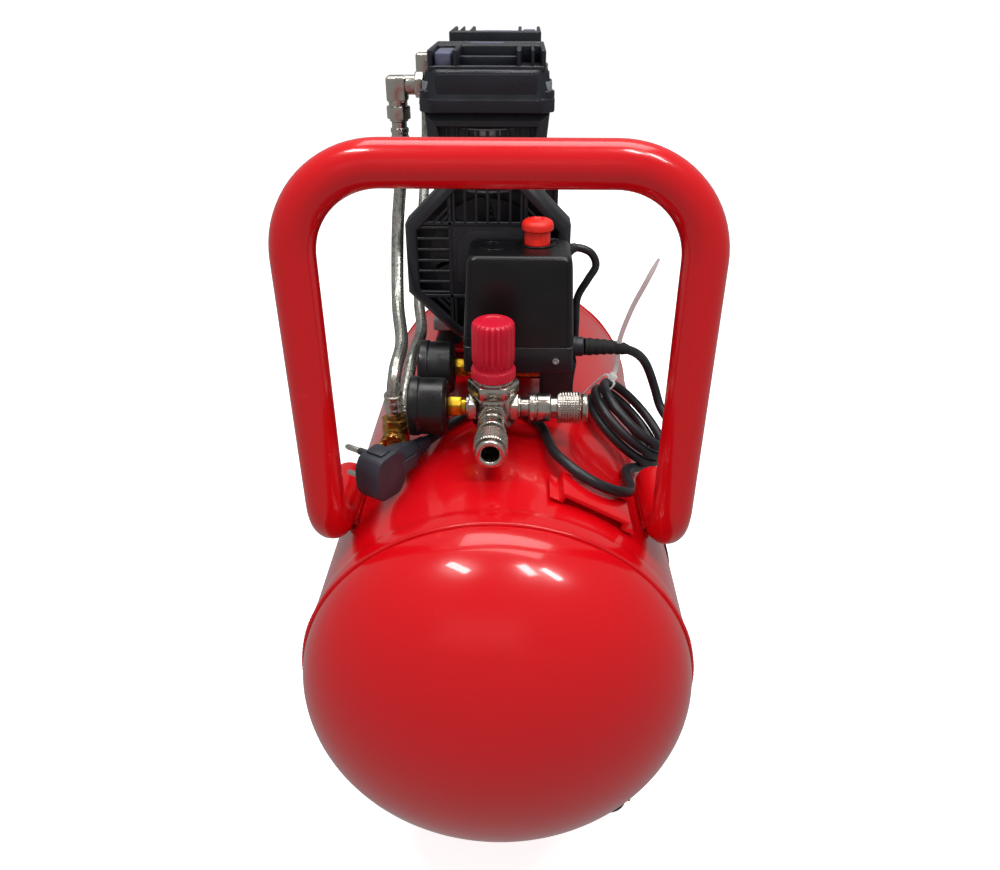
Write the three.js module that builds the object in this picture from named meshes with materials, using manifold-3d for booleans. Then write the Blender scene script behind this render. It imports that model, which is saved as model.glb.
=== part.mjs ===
// Portable air compressor: a horizontal tank on two wheels and two rubber feet, carrying a twin-cylinder
// direct-drive pump, a pressure switch, a regulator with two gauges and two quick couplers, and a handle.
// Millimetres, +Z up. The handle and the controls are at the -Y end and the pump is at the +Y end.

import * as THREE from "three";
import { mergeVertices } from "three/addons/utils/BufferGeometryUtils.js";
import Module from "manifold-3d";

const wasm = await Module();
wasm.setup();

// ---- Driving dimensions ----

const GAP = 0.3; // between pieces that touch
const RUNNING_GAP = 0.5; // round pieces that turn or slide in each other
const SHEET = 3; // thickness of the folded brackets

const TANK_RADIUS = 125;
const TANK_LENGTH = 406; // between the weld seams
const TANK_DOME = 78; // depth of each dished end
const TANK_WALL = 2.5;
const BELLY_CLEARANCE = 64; // under the tank
const BUNG_HEIGHT = 6;
const BUNG_RADIUS = 11;
const PORT_RADIUS = 7;

const HANDLE_TUBE = 12; // radius
const HANDLE_HALF_WIDTH = 106; // to the tube's middle
const HANDLE_TOP = 191; // the bar's middle above the tank's top
const HANDLE_SETBACK = 33; // the legs' plane behind the front seam
const HANDLE_FOOT_LENGTH = 75; // of the part that lies along the tank
const HANDLE_CORNER = 48;
const HANDLE_FOOT_BEND = 28;

const PLATE_WIDTH = 47; // the data-plate bracket
const PLATE_LENGTH = 24;
const PLATE_STANDOFF = 6;
const PLATE_SETBACK = 41; // its middle behind the front seam
const PLATE_ANGLE = THREE.MathUtils.degToRad(27.5); // round the tank from the top

const WHEEL_RADIUS = 54;
const WHEEL_WIDTH = 28;
const TYRE_DEPTH = 9;
const WHEEL_CLEARANCE = 11; // between the tank's side and the wheel
const AXLE_RADIUS = 5;
const AXLE_SETBACK = 58; // in front of the rear seam
const BRACKET_LENGTH = 34; // of the axle and foot brackets, along the tank
const BRACKET_HALF_WIDTH = 70;
const FOOT_RADIUS = 16;
const FOOT_HEIGHT = 18;
const FOOT_REACH = 88; // the feet's distance from the middle
const FOOT_SETBACK = 52; // behind the front seam

const PUMP_X = -12;
const FRONT_CYLINDER_Y = 32;
const PUMP_HEIGHT = 89; // the shaft above the tank's top
const CYLINDER_SPACING = 176;
const PUMP_Y = FRONT_CYLINDER_Y + CYLINDER_SPACING / 2;
const STROKE = 12;
const BORE_RADIUS = 23;
const CYLINDER_RADIUS = 28;
const FIN_RADIUS = 32;
const CYLINDER_BASE = 47; // above the shaft
const CYLINDER_TOP = 101;
const HEAD_WIDTH = 90;
const HEAD_DEPTH = 84;
const HEAD_HEIGHT = 25.5;
const HEAD_RIB = 12;
const CRANKCASE_RADIUS = 46;
const CRANKCASE_WALL = 8;
const FOOT_BITE = 3.6; // how far the pump's feet reach up into the drum
const CRANKCASE_OUTER = 16; // from the cylinder's axis out to the fan
const CRANKCASE_INNER = 26; // and in to the motor
const SHAFT_RADIUS = 7;
const FAN_RADIUS = 43;
const FAN_THICKNESS = 10;
const GUARD_WIDTH = 119;
const GUARD_HEIGHT = 121;
const GUARD_CHAMFER = 35;
const GUARD_DEPTH = 26;
const GUARD_WALL = 3.5;
const GUARD_FACE = 38; // outside of the guard from the cylinder's axis
const SLOT_WIDTH = 5.5;
const SLOT_PITCH = 8.6;
const STATOR_RADIUS = 45;
const ROTOR_RADIUS = 30;
const MOUNT_RADIUS = 11;
const MOUNT_HEIGHT = 14;
const MOUNT_SPREAD = 34;
const PLATFORM_HALF_WIDTH = 46;
const PLATFORM_HEIGHT = 8; // its top above the tank's top

const HOSE_RADIUS = 4.5;
const FERRULE_RADIUS = 6.5;
const HOSE_CLEARANCE = 4.5; // beside the guard, to the hose's middle
const ELBOW_REACH = GUARD_WIDTH / 2 + HOSE_CLEARANCE; // the hose's drop from the cylinder's axis
const VALVE_X = -72;
const VALVE_Y = -98;

const CONTROL_HEIGHT = 20; // the regulator's and manifold's axes above the tank's top
const RISER_X = 39;
const RISER_Y = -40;
const MANIFOLD_RADIUS = 7.5;
const REGULATOR_X = -5;
const REGULATOR_Y = -100;
const PORT_REACH = 18; // from the regulator's middle to each port's face
const KNOB_RADIUS = 14;
const KNOB_HEIGHT = 39;
const BONNET_HEIGHT = 22; // its top above the ports' axes
const GAUGE_RADIUS = 20;
const GAUGE_DEPTH = 25;
const GAUGE_STEM = 12.5;
const DIAL_RECESS = 5;
const COUPLER_LENGTH = 44;
const COUPLER_RADIUS = 9.5;
const COUPLER_BORE = 5.5;
const SLEEVE_RADIUS = 10.6;
const SLEEVE_LENGTH = 15;
const SLEEVE_TRAVEL = 4;

const SWITCH_X = 11;
const SWITCH_Y = -40;
const SWITCH_WIDTH = 76;
const SWITCH_DEPTH = 51;
const SWITCH_BASE_HEIGHT = 20;
const SWITCH_COVER_HEIGHT = 62;
const SWITCH_DRAFT = 3; // each side leans in by this over the cover's height
const SWITCH_WALL = 2.5;
const STOP_KNOB_X = 23;
const STOP_KNOB_Y = -31;
const STOP_KNOB_RADIUS = 8.8;
const STOP_KNOB_CAP = 10.8;
const STOP_KNOB_RISE = 17;
const GLAND_RADIUS = 7.5;
const GLAND_LENGTH = 9;
const LEAD_RADIUS = 2.8;

const CORD_RADIUS = 3.4;
const COIL_RADIUS = 34; // to the middle of its turns
const COIL_LAYERS = 4;
const COIL_ANGLE = THREE.MathUtils.degToRad(42); // round the tank from the top
const COIL_Y = -48;
const PLUG_LENGTH = 48; // from the middle of its head to the cord
const PLUG_RADIUS = 16;
const PLUG_DEPTH = 20;
const PIN_RADIUS = 2.4;
const PIN_LENGTH = 19;
const PIN_SPREAD = 9.5; // half the distance between the pins

const FACETS = { tank: 36, round: 20, small: 10, tube: 12, hose: 8 };

const RED = { color: "#c4141f", roughness: 0.22, metalness: 0 };
const BLACK = { color: "#1b1b1e", roughness: 0.5, metalness: 0 };
const CAST_BLACK = { color: "#202226", roughness: 0.55, metalness: 0.2 };
const RUBBER = { color: "#141414", roughness: 0.85, metalness: 0 };
const ALUMINIUM = { color: "#a9adb0", roughness: 0.4, metalness: 0.9 };
const STEEL = { color: "#8c8f92", roughness: 0.4, metalness: 1 };
const NICKEL = { color: "#c9c4bc", roughness: 0.25, metalness: 1 };
const BRASS = { color: "#b58a3c", roughness: 0.35, metalness: 1 };
const CRIMSON = { color: "#c81232", roughness: 0.4, metalness: 0 };
const ORANGE = { color: "#e8231a", roughness: 0.4, metalness: 0 };

// ---- Geometry helpers ----

const point = (x, y, z) => new THREE.Vector3(x, y, z);
const UP = point(0, 0, 1);
const LEFT = point(-1, 0, 0);
const RIGHT = point(1, 0, 0);
const FRONT = point(0, -1, 0);
const BACK = point(0, 1, 0);
const DOWN = point(0, 0, -1);

const tankTop = (x) => Math.sqrt(TANK_RADIUS ** 2 - x ** 2);
const range = (count) => [...Array(count).keys()];
const flat = (pairs) => pairs.map(([x, y]) => new THREE.Vector2(x, y));

// A round solid about +Z from [radius, height] pairs. It is hollow where its outline leaves the axis.
function turned(outline, sides = FACETS.round) {
  const points = flat(outline);
  if (THREE.ShapeUtils.area(points) < 0) points.reverse();
  if (points[0].x > 0) points.push(points[0].clone());
  return new THREE.LatheGeometry(points, sides).rotateX(Math.PI / 2);
}

function disc(radius, from, to, sides) {
  return turned([[0, from], [radius, from], [radius, to], [0, to]], sides);
}

function ring(inner, outer, from, to, sides) {
  return turned([[inner, from], [outer, from], [outer, to], [inner, to]], sides);
}

function box(width, depth, height) {
  return new THREE.BoxGeometry(width, depth, height);
}

// An outline of [x, y] pairs pushed from z = 0 along +Z.
function plate(outline, depth, holes = []) {
  const shape = new THREE.Shape(flat(outline));
  shape.holes = holes.map((hole) => new THREE.Path(flat(hole)));
  return new THREE.ExtrudeGeometry(shape, { depth, bevelEnabled: false });
}

// An outline of [x, z] pairs made length long, centred on y = 0.
function profileAlongY(outline, length, holes = []) {
  return plate(outline, length, holes).rotateX(Math.PI / 2).translate(0, length / 2, 0);
}

// A regular polygon with its flats this far apart.
function hexagon(acrossFlats, from, to) {
  const radius = acrossFlats / Math.sqrt(3);
  return disc(radius, from, to, 6);
}

function sweep(curve, radius, sides, steps) {
  const turns = range(sides).map((i) => (2 * Math.PI * i) / sides);
  const section = new THREE.Shape(flat(turns.map((a) => [radius * Math.cos(a), radius * Math.sin(a)])));
  return new THREE.ExtrudeGeometry(section, { extrudePath: curve, steps, bevelEnabled: false });
}

// A tube that runs smoothly through the points.
function laid(points, radius, steps) {
  return sweep(new THREE.CatmullRomCurve3(points, false, "centripetal"), radius, FACETS.hose, steps);
}

// A run of straight tubes whose corners, [point, bend radius], are round.
function bentRun(corners) {
  const path = new THREE.CurvePath();
  let from = corners[0][0];
  for (let i = 1; i < corners.length - 1; i++) {
    const [corner, bend] = corners[i];
    const back = from.clone().sub(corner).normalize();
    const on = corners[i + 1][0].clone().sub(corner).normalize();
    const turn = Math.PI - back.angleTo(on);
    const reach = bend * Math.tan(turn / 2);
    const pull = (4 / 3) * bend * Math.tan(turn / 4);
    const start = corner.clone().addScaledVector(back, reach);
    const end = corner.clone().addScaledVector(on, reach);
    path.add(new THREE.LineCurve3(from, start));
    path.add(
      new THREE.CubicBezierCurve3(
        start,
        start.clone().addScaledVector(back, -pull),
        end.clone().addScaledVector(on, -pull),
        end,
      ),
    );
    from = end;
  }
  path.add(new THREE.LineCurve3(from, corners.at(-1)[0]));
  return path;
}

// Turns a geometry made along +Z to point along the direction, and moves it.
function aimed(geometry, direction, x = 0, y = 0, z = 0) {
  const turn = new THREE.Quaternion().setFromUnitVectors(UP, direction);
  return geometry.clone().applyQuaternion(turn).translate(x, y, z);
}

function solid(geometry) {
  const bare = geometry.index ? geometry.toNonIndexed() : geometry.clone();
  bare.deleteAttribute("normal");
  bare.deleteAttribute("uv");
  const merged = mergeVertices(bare, 1e-3);
  return new wasm.Manifold(
    new wasm.Mesh({
      numProp: 3,
      vertProperties: merged.attributes.position.array,
      triVerts: new Uint32Array(merged.index.array),
    }),
  );
}

function meshed(made) {
  const { vertProperties, triVerts } = made.getMesh();
  const geometry = new THREE.BufferGeometry();
  geometry.setAttribute("position", new THREE.BufferAttribute(new Float32Array(vertProperties), 3));
  geometry.setIndex(new THREE.BufferAttribute(new Uint32Array(triVerts), 1));
  const open = geometry.toNonIndexed();
  open.computeVertexNormals();
  return open;
}

const join = (first, ...rest) => meshed(rest.reduce((whole, next) => whole.add(solid(next)), solid(first)));
const cut = (first, ...tools) => meshed(tools.reduce((whole, next) => whole.subtract(solid(next)), solid(first)));

// ---- The assembly ----

const axisHeight = TANK_RADIUS + BELLY_CLEARANCE;
const frontSeam = -TANK_LENGTH / 2;
const rearSeam = TANK_LENGTH / 2;
const floor = -axisHeight;

const compressor = new THREE.Group(); // inside it, z = 0 is the tank's axis
compressor.position.z = axisHeight;

function add(name, geometry, finish, place = [0, 0, 0], group = compressor) {
  const mesh = new THREE.Mesh(geometry, new THREE.MeshStandardMaterial(finish));
  mesh.name = name;
  mesh.position.set(...place);
  group.add(mesh);
  return mesh;
}

// ---- Tank ----

function tankBarrel() {
  const half = TANK_LENGTH / 2 - GAP / 2;
  const tube = ring(TANK_RADIUS - TANK_WALL, TANK_RADIUS, -half, half, FACETS.tank);
  const bung = disc(BUNG_RADIUS, -12, BUNG_HEIGHT, FACETS.small);
  const port = disc(PORT_RADIUS, -30, BUNG_HEIGHT + 10, FACETS.small);
  const places = [
    [RISER_X, RISER_Y, tankTop(RISER_X), UP],
    [VALVE_X, VALVE_Y, tankTop(VALVE_X), UP],
    [0, 0, -TANK_RADIUS, DOWN],
  ];
  const bungs = places.map(([x, y, z, way]) => aimed(bung, way, x, y, z));
  const ports = places.map(([x, y, z, way]) => aimed(port, way, x, y, z));
  return cut(join(aimed(tube, BACK), ...bungs), ...ports);
}

function dishedEnd(direction) {
  const steps = 5;
  const arc = (radius, depth) =>
    range(steps + 1).map((i) => {
      const a = (Math.PI / 2) * (i / steps);
      return [i === steps ? 0 : radius * Math.cos(a), depth * Math.sin(a)];
    });
  const outer = arc(TANK_RADIUS, TANK_DOME);
  const inner = arc(TANK_RADIUS - TANK_WALL, TANK_DOME - TANK_WALL).reverse();
  return aimed(turned([...inner, ...outer], FACETS.tank), direction);
}

add("tank_barrel", tankBarrel(), RED);
add("tank_rear_head", dishedEnd(BACK), RED, [0, rearSeam + GAP / 2, 0]);
add("tank_front_head", dishedEnd(FRONT), RED, [0, frontSeam - GAP / 2, 0]);

// ---- Handle and data-plate bracket ----

const handleY = frontSeam + HANDLE_SETBACK;

function handle() {
  const footZ = Math.sqrt((TANK_RADIUS + HANDLE_TUBE + GAP) ** 2 - HANDLE_HALF_WIDTH ** 2);
  const topZ = TANK_RADIUS + HANDLE_TOP;
  const leg = (side) => [
    [point(side * HANDLE_HALF_WIDTH, handleY + HANDLE_FOOT_LENGTH, footZ), 0],
    [point(side * HANDLE_HALF_WIDTH, handleY, footZ), HANDLE_FOOT_BEND],
    [point(side * HANDLE_HALF_WIDTH, handleY, topZ), HANDLE_CORNER],
  ];
  return sweep(bentRun([...leg(-1), ...leg(1).reverse()]), HANDLE_TUBE, FACETS.tube, 40);
}

add("handle", handle(), RED);

function dataPlateBracket() {
  const half = PLATE_WIDTH / 2;
  const flange = 6;
  const top = TANK_RADIUS + PLATE_STANDOFF;
  const foot = tankTop(half - SHEET) + GAP;
  const outline = [
    [-half - flange, foot],
    [-half + SHEET, foot],
    [-half + SHEET, top - SHEET],
    [half - SHEET, top - SHEET],
    [half - SHEET, foot],
    [half + flange, foot],
    [half + flange, foot + 1],
    [half, foot + 1],
    [half, top],
    [-half, top],
    [-half, foot + 1],
    [-half - flange, foot + 1],
  ];
  return profileAlongY(outline, PLATE_LENGTH);
}

const bracket = add("data_plate_bracket", dataPlateBracket(), RED, [0, frontSeam + PLATE_SETBACK, 0]);
bracket.rotation.y = PLATE_ANGLE;

// ---- Wheels and feet ----

const axleZ = floor + WHEEL_RADIUS;
const axleY = rearSeam - AXLE_SETBACK;
const wheelInside = Math.sqrt(TANK_RADIUS ** 2 - (axleZ + WHEEL_RADIUS) ** 2) + WHEEL_CLEARANCE;
const wheelMiddle = wheelInside + WHEEL_WIDTH / 2;
const uprightTop = (x) => -tankTop(x - SHEET) - GAP;

// A channel under the tank: two uprights that meet it and a strip across at the given height.
function saddle(stripZ, halfStrip) {
  const x = BRACKET_HALF_WIDTH;
  const outline = [
    [-halfStrip, stripZ],
    [halfStrip, stripZ],
    [halfStrip, stripZ + SHEET],
    [x, stripZ + SHEET],
    [x, uprightTop(x)],
    [x - SHEET, uprightTop(x)],
    [x - SHEET, stripZ + SHEET],
    [-x + SHEET, stripZ + SHEET],
    [-x + SHEET, uprightTop(x)],
    [-x, uprightTop(x)],
    [-x, stripZ + SHEET],
    [-halfStrip, stripZ + SHEET],
  ];
  return profileAlongY(outline, BRACKET_LENGTH);
}

const axleStripZ = axleZ - 3 * AXLE_RADIUS;
const axleHole = aimed(disc(AXLE_RADIUS + GAP, -TANK_RADIUS, TANK_RADIUS), RIGHT, 0, 0, axleZ);
add("axle_bracket", cut(saddle(axleStripZ, BRACKET_HALF_WIDTH), axleHole), RED, [0, axleY, 0]);
const axleEnd = wheelMiddle + WHEEL_WIDTH / 2 + 5;
add("axle", aimed(disc(AXLE_RADIUS, -axleEnd, axleEnd), RIGHT), STEEL, [0, axleY, axleZ]);

function wheelHub() {
  const rim = WHEEL_RADIUS - TYRE_DEPTH;
  const half = WHEEL_WIDTH / 2;
  const boss = 12;
  return turned(
    [
      [AXLE_RADIUS + RUNNING_GAP, -half],
      [boss, -half],
      [boss, -4],
      [rim - 5, -4],
      [rim - 5, -half + 3],
      [rim, -half + 3],
      [rim, half - 3],
      [rim - 5, half - 3],
      [rim - 5, 4],
      [boss, 4],
      [boss, half + 2],
      [AXLE_RADIUS + RUNNING_GAP, half + 2],
    ],
    FACETS.tank / 2 + 6,
  );
}

function tyre() {
  const half = WHEEL_WIDTH / 2;
  const bead = WHEEL_RADIUS - TYRE_DEPTH + GAP;
  const outline = [
    [bead, -half + 3],
    [bead + 3, -half],
    [WHEEL_RADIUS - 3, -half],
    [WHEEL_RADIUS, -half + 5],
    [WHEEL_RADIUS, half - 5],
    [WHEEL_RADIUS - 3, half],
    [bead + 3, half],
    [bead, half - 3],
  ];
  return turned(outline, FACETS.tank);
}

for (const [side, way, sign] of [["left", LEFT, -1], ["right", RIGHT, 1]]) {
  add("wheel_hub_" + side, aimed(wheelHub(), way), BLACK, [sign * wheelMiddle, axleY, axleZ]);
  add("wheel_tyre_" + side, aimed(tyre(), way), RUBBER, [sign * wheelMiddle, axleY, axleZ]);
}

const footY = frontSeam + FOOT_SETBACK;
const footHalfStrip = FOOT_REACH + FOOT_RADIUS;
add("foot_bracket", saddle(floor + FOOT_HEIGHT + GAP, footHalfStrip), RED, [0, footY, 0]);

for (const [side, sign] of [["left", -1], ["right", 1]]) {
  const outline = [
    [4, 0],
    [FOOT_RADIUS - 2, 0],
    [FOOT_RADIUS, 2],
    [FOOT_RADIUS - 3, FOOT_HEIGHT],
    [0, FOOT_HEIGHT],
    [0, 6],
    [4, 6],
  ];
  add("rubber_foot_" + side, turned(outline), RUBBER, [sign * FOOT_REACH, footY, floor]);
}

function drainScrew() {
  const stem = disc(PORT_RADIUS - RUNNING_GAP, -BUNG_HEIGHT - 6, 4, FACETS.small);
  const collar = disc(BUNG_RADIUS - 1, -BUNG_HEIGHT - 6, -BUNG_HEIGHT - GAP, 6);
  const wing = box(26, 3, 12).translate(0, 0, -BUNG_HEIGHT - 11);
  return join(stem, collar, wing);
}

add("drain_screw", drainScrew(), BRASS, [0, 0, -TANK_RADIUS]);

// ---- Pump ----

const pump = new THREE.Group(); // its origin is the middle of the motor shaft
const shaftZ = TANK_RADIUS + PUMP_HEIGHT;
pump.position.set(PUMP_X, PUMP_Y, shaftZ);
compressor.add(pump);

const halfSpacing = CYLINDER_SPACING / 2;
const platformTop = TANK_RADIUS + PLATFORM_HEIGHT;
const crankFoot = platformTop + MOUNT_HEIGHT + 2 * GAP - shaftZ; // underside of the crankcase feet
const cavityRadius = CRANKCASE_RADIUS - CRANKCASE_WALL;
const crank = STROKE / 2;
const eccentricRadius = SHAFT_RADIUS + 1;
const rodEyeRadius = eccentricRadius + 2 * crank + RUNNING_GAP;
const rodThickness = 10;

function crankcase() {
  const outer = -CRANKCASE_OUTER;
  const inner = CRANKCASE_INNER;
  const drum = aimed(disc(CRANKCASE_RADIUS, outer, inner), BACK);
  const neck = disc(BORE_RADIUS + 5, 30, CYLINDER_BASE - GAP);
  const neckBlock = neck.clone().scale(1, CRANKCASE_OUTER / (BORE_RADIUS + 5), 1);
  const behindGuard = GUARD_DEPTH - GUARD_FACE + 1;
  const footTop = FOOT_BITE - CRANKCASE_RADIUS;
  const feet = box(2 * (MOUNT_SPREAD + MOUNT_RADIUS), inner - behindGuard, footTop - crankFoot);
  feet.translate(0, (inner + behindGuard) / 2, (footTop + crankFoot) / 2);
  const cavity = aimed(disc(cavityRadius, outer - 1, inner - 5), BACK);
  const bore = aimed(disc(SHAFT_RADIUS + RUNNING_GAP, 0, inner + 1, FACETS.small), BACK);
  const rodWay = box(2 * BORE_RADIUS, rodThickness + 8, CYLINDER_BASE).translate(0, 0, CYLINDER_BASE / 2 + 5);
  return cut(join(drum, neckBlock, feet), cavity, bore, rodWay);
}

function cylinder() {
  const fins = 4;
  const pitch = (CYLINDER_TOP - CYLINDER_BASE - 8) / fins;
  const outline = [
    [BORE_RADIUS + RUNNING_GAP, CYLINDER_BASE],
    [FIN_RADIUS, CYLINDER_BASE],
    [FIN_RADIUS, CYLINDER_BASE + 4],
  ];
  for (const i of range(fins - 1)) {
    const z = CYLINDER_BASE + 4 + pitch * (i + 1);
    outline.push([CYLINDER_RADIUS, z - pitch + 1], [CYLINDER_RADIUS, z - 1.5]);
    outline.push([FIN_RADIUS, z - 1.5], [FIN_RADIUS, z + 1]);
  }
  outline.push([CYLINDER_RADIUS, CYLINDER_TOP - pitch + 2], [CYLINDER_RADIUS, CYLINDER_TOP]);
  outline.push([BORE_RADIUS + RUNNING_GAP, CYLINDER_TOP]);
  return turned(outline);
}

// The cylinder head: a chamfered block with ribs and a tall middle block on its deck.
function cylinderHead() {
  const w = HEAD_WIDTH / 2;
  const d = HEAD_DEPTH / 2;
  const c = 8;
  const outline = [
    [-w, -d + c],
    [-w + c, -d],
    [w - c, -d],
    [w, -d + c],
    [w, d - c],
    [w - c, d],
    [-w + c, d],
    [-w, d - c],
  ];
  const base = CYLINDER_TOP + GAP;
  const block = plate(outline, HEAD_HEIGHT).translate(0, 0, base);
  const deck = base + HEAD_HEIGHT;
  const ribs = [-0.62, -0.2, 0.2, 0.62].map((share) =>
    box(4, HEAD_DEPTH - 14, HEAD_RIB + 1).translate(share * w, 0, deck + HEAD_RIB / 2 - 0.5),
  );
  const crossbar = box(1.24 * w + 4, 18, HEAD_RIB + 1).translate(0, d - 20, deck + HEAD_RIB / 2 - 0.5);
  const filter = aimed(disc(13, d - 1, d + 20), BACK, 20, 0, base + HEAD_HEIGHT / 2);
  return join(block, ...ribs, crossbar, filter);
}

function piston() {
  const crownFoot = CYLINDER_BASE + STROKE + 11;
  const crown = disc(BORE_RADIUS, crownFoot, crownFoot + 14);
  const rodLength = crownFoot - rodEyeRadius;
  const rod = box(12, 8, rodLength).translate(0, 0, rodEyeRadius + 2 + rodLength / 2);
  const eye = aimed(ring(rodEyeRadius, rodEyeRadius + 4, -rodThickness / 2, rodThickness / 2), BACK);
  return join(crown, rod, eye);
}

// The grille's slots, as bars to cut with: level on both sides, upright at top and bottom, and slanted
// across the corners.
function grilleSlots() {
  const slots = [];
  const slot = (x, z, length, angle) => {
    const bar = box(length, 4 * GUARD_WALL, SLOT_WIDTH).rotateY(-angle);
    slots.push(bar.translate(x, -GUARD_FACE, z));
  };
  const sideX = GUARD_WIDTH / 2 - 20;
  const endZ = GUARD_HEIGHT / 2 - 18;
  for (const i of range(7)) {
    const step = (i - 3) * SLOT_PITCH;
    for (const sign of [-1, 1]) {
      slot(sign * sideX, step, 24, 0);
      slot(step, sign * endZ, 22, Math.PI / 2);
    }
  }
  const corner = (GUARD_WIDTH + GUARD_HEIGHT) / 4 - GUARD_CHAMFER / 2;
  for (const [inset, length] of [[8.5, 9], [2, 17]]) {
    for (const [sx, sz] of [[1, 1], [1, -1], [-1, 1], [-1, -1]]) {
      slot(sx * (corner - inset), sz * (corner - inset), length, -sx * sz * (Math.PI / 4));
    }
  }
  return slots;
}

function octagon(inset) {
  const w = GUARD_WIDTH / 2 - inset;
  const h = GUARD_HEIGHT / 2 - inset;
  const c = GUARD_CHAMFER - inset * (2 - Math.SQRT2);
  return [
    [-w, -h + c],
    [-w + c, -h],
    [w - c, -h],
    [w, -h + c],
    [w, h - c],
    [w - c, h],
    [-w + c, h],
    [-w, h - c],
  ];
}

// The fan guard with the air duct that stands on it in front of the cylinder.
function fanGuard() {
  const face = profileAlongY(octagon(0), GUARD_WALL);
  face.translate(0, GUARD_WALL / 2 - GUARD_FACE, 0);
  const rim = profileAlongY(octagon(0), GUARD_DEPTH, [octagon(GUARD_WALL)]);
  rim.translate(0, GUARD_DEPTH / 2 - GUARD_FACE, 0);
  const w = HEAD_WIDTH / 2 - 3;
  const low = GUARD_HEIGHT / 2 - 2;
  const high = CYLINDER_TOP - GAP;
  const front = [
    [-w, low],
    [w, low],
    [w, high],
    [-w, high],
  ];
  const mouth = [
    [-w + 8, high - 20],
    [w - 8, high - 20],
    [w - 8, high - 5],
    [-w + 8, high - 5],
  ];
  const ductFront = profileAlongY(front, GUARD_WALL, [mouth]);
  ductFront.translate(0, GUARD_WALL / 2 - GUARD_FACE, 0);
  const side = box(GUARD_WALL, GUARD_DEPTH + 34, high - low);
  const sides = [-1, 1].map((sign) =>
    side.clone().translate(sign * (w - GUARD_WALL / 2), (GUARD_DEPTH + 34) / 2 - GUARD_FACE, (high + low) / 2),
  );
  const room = disc(FIN_RADIUS + 1.5, 30, CYLINDER_TOP + 5);
  return cut(join(face, rim, ductFront, ...sides), room, ...grilleSlots());
}

function fan() {
  const blades = range(7).map((i) => {
    const blade = box(FAN_RADIUS - 10, 1.8, FAN_THICKNESS - 1).rotateX(0.75);
    blade.translate((FAN_RADIUS + 10) / 2, 0, 0);
    return blade.rotateZ((2 * Math.PI * i) / 7);
  });
  const hub = ring(SHAFT_RADIUS + GAP, 13, -FAN_THICKNESS / 2, FAN_THICKNESS / 2);
  return join(hub, ...blades);
}

function outletElbow() {
  const height = CYLINDER_TOP + GAP + HEAD_HEIGHT / 2;
  const across = aimed(disc(6, HEAD_WIDTH / 2 + GAP, ELBOW_REACH, FACETS.small), LEFT, 0, 0, height);
  const nut = aimed(hexagon(15, HEAD_WIDTH / 2 + GAP, HEAD_WIDTH / 2 + 6), LEFT, 0, 0, height);
  const drop = disc(7, height - 24, height + 6, FACETS.small).translate(-ELBOW_REACH, 0, 0);
  return join(across, nut, drop);
}

const fanMiddle = CRANKCASE_OUTER + 4 + FAN_THICKNESS / 2;
const elbowEnd = CYLINDER_TOP + GAP + HEAD_HEIGHT / 2 - 24;

for (const [side, sign] of [["front", -1], ["rear", 1]]) {
  const end = new THREE.Group(); // its -Y points out of the pump
  end.position.y = sign * halfSpacing;
  end.rotation.z = side === "front" ? 0 : Math.PI;
  pump.add(end);
  add("crankcase_" + side, crankcase(), ALUMINIUM, [0, 0, 0], end);
  add("cylinder_" + side, cylinder(), ALUMINIUM, [0, 0, 0], end);
  add("cylinder_head_" + side, cylinderHead(), CAST_BLACK, [0, 0, 0], end);
  add("piston_" + side, piston(), ALUMINIUM, [0, 0, 0], end);
  add("fan_guard_" + side, fanGuard(), BLACK, [0, 0, 0], end);
  add("fan_" + side, aimed(fan(), FRONT), BLACK, [0, -fanMiddle, 0], end);
  add("outlet_elbow_" + side, outletElbow(), NICKEL, [0, sign * halfSpacing, 0], pump);
}

// The shaft with the rotor and the two eccentrics that drive the rods, half a turn apart.
function motorShaft() {
  const end = halfSpacing + fanMiddle + FAN_THICKNESS / 2 + 2;
  const rotorHalf = 45;
  const shaft = disc(SHAFT_RADIUS, -end, end, FACETS.small);
  const rotor = disc(ROTOR_RADIUS, -rotorHalf, rotorHalf);
  const eccentric = disc(eccentricRadius, -rodThickness / 2, rodThickness / 2);
  const pair = [-1, 1].map((sign) => eccentric.clone().translate(0, sign * crank, sign * halfSpacing));
  return aimed(join(shaft, rotor, ...pair), BACK);
}

const statorHalf = halfSpacing - CRANKCASE_INNER - GAP;
add("motor_shaft", motorShaft(), STEEL, [0, 0, 0], pump);
add(
  "motor_stator",
  aimed(ring(ROTOR_RADIUS + 1, STATOR_RADIUS, -statorHalf, statorHalf, FACETS.tank / 2), BACK),
  STEEL,
  [0, 0, 0],
  pump,
);

const mountY = halfSpacing - (CRANKCASE_INNER - CRANKCASE_OUTER) / 2;
for (const [end, alongY] of [["front", -1], ["rear", 1]]) {
  for (const [side, alongX] of [["left", -1], ["right", 1]]) {
    const waist = MOUNT_RADIUS - 2.5;
    const outline = [
      [0, 0],
      [MOUNT_RADIUS, 0],
      [waist, MOUNT_HEIGHT / 2],
      [MOUNT_RADIUS, MOUNT_HEIGHT],
      [0, MOUNT_HEIGHT],
    ];
    add(
      "pump_mount_" + end + "_" + side,
      turned(outline, FACETS.small),
      RUBBER,
      [alongX * MOUNT_SPREAD, alongY * mountY, platformTop + GAP - shaftZ],
      pump,
    );
  }
}

function pumpPlatform() {
  const left = PUMP_X - PLATFORM_HALF_WIDTH;
  const right = PUMP_X + PLATFORM_HALF_WIDTH;
  const outline = [
    [left, tankTop(left + SHEET) + GAP],
    [left + SHEET, tankTop(left + SHEET) + GAP],
    [left + SHEET, platformTop - SHEET],
    [right - SHEET, platformTop - SHEET],
    [right - SHEET, tankTop(right - SHEET) + GAP],
    [right, tankTop(right - SHEET) + GAP],
    [right, platformTop],
    [left, platformTop],
  ];
  return profileAlongY(outline, 2 * (mountY + MOUNT_RADIUS + 5));
}

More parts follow.
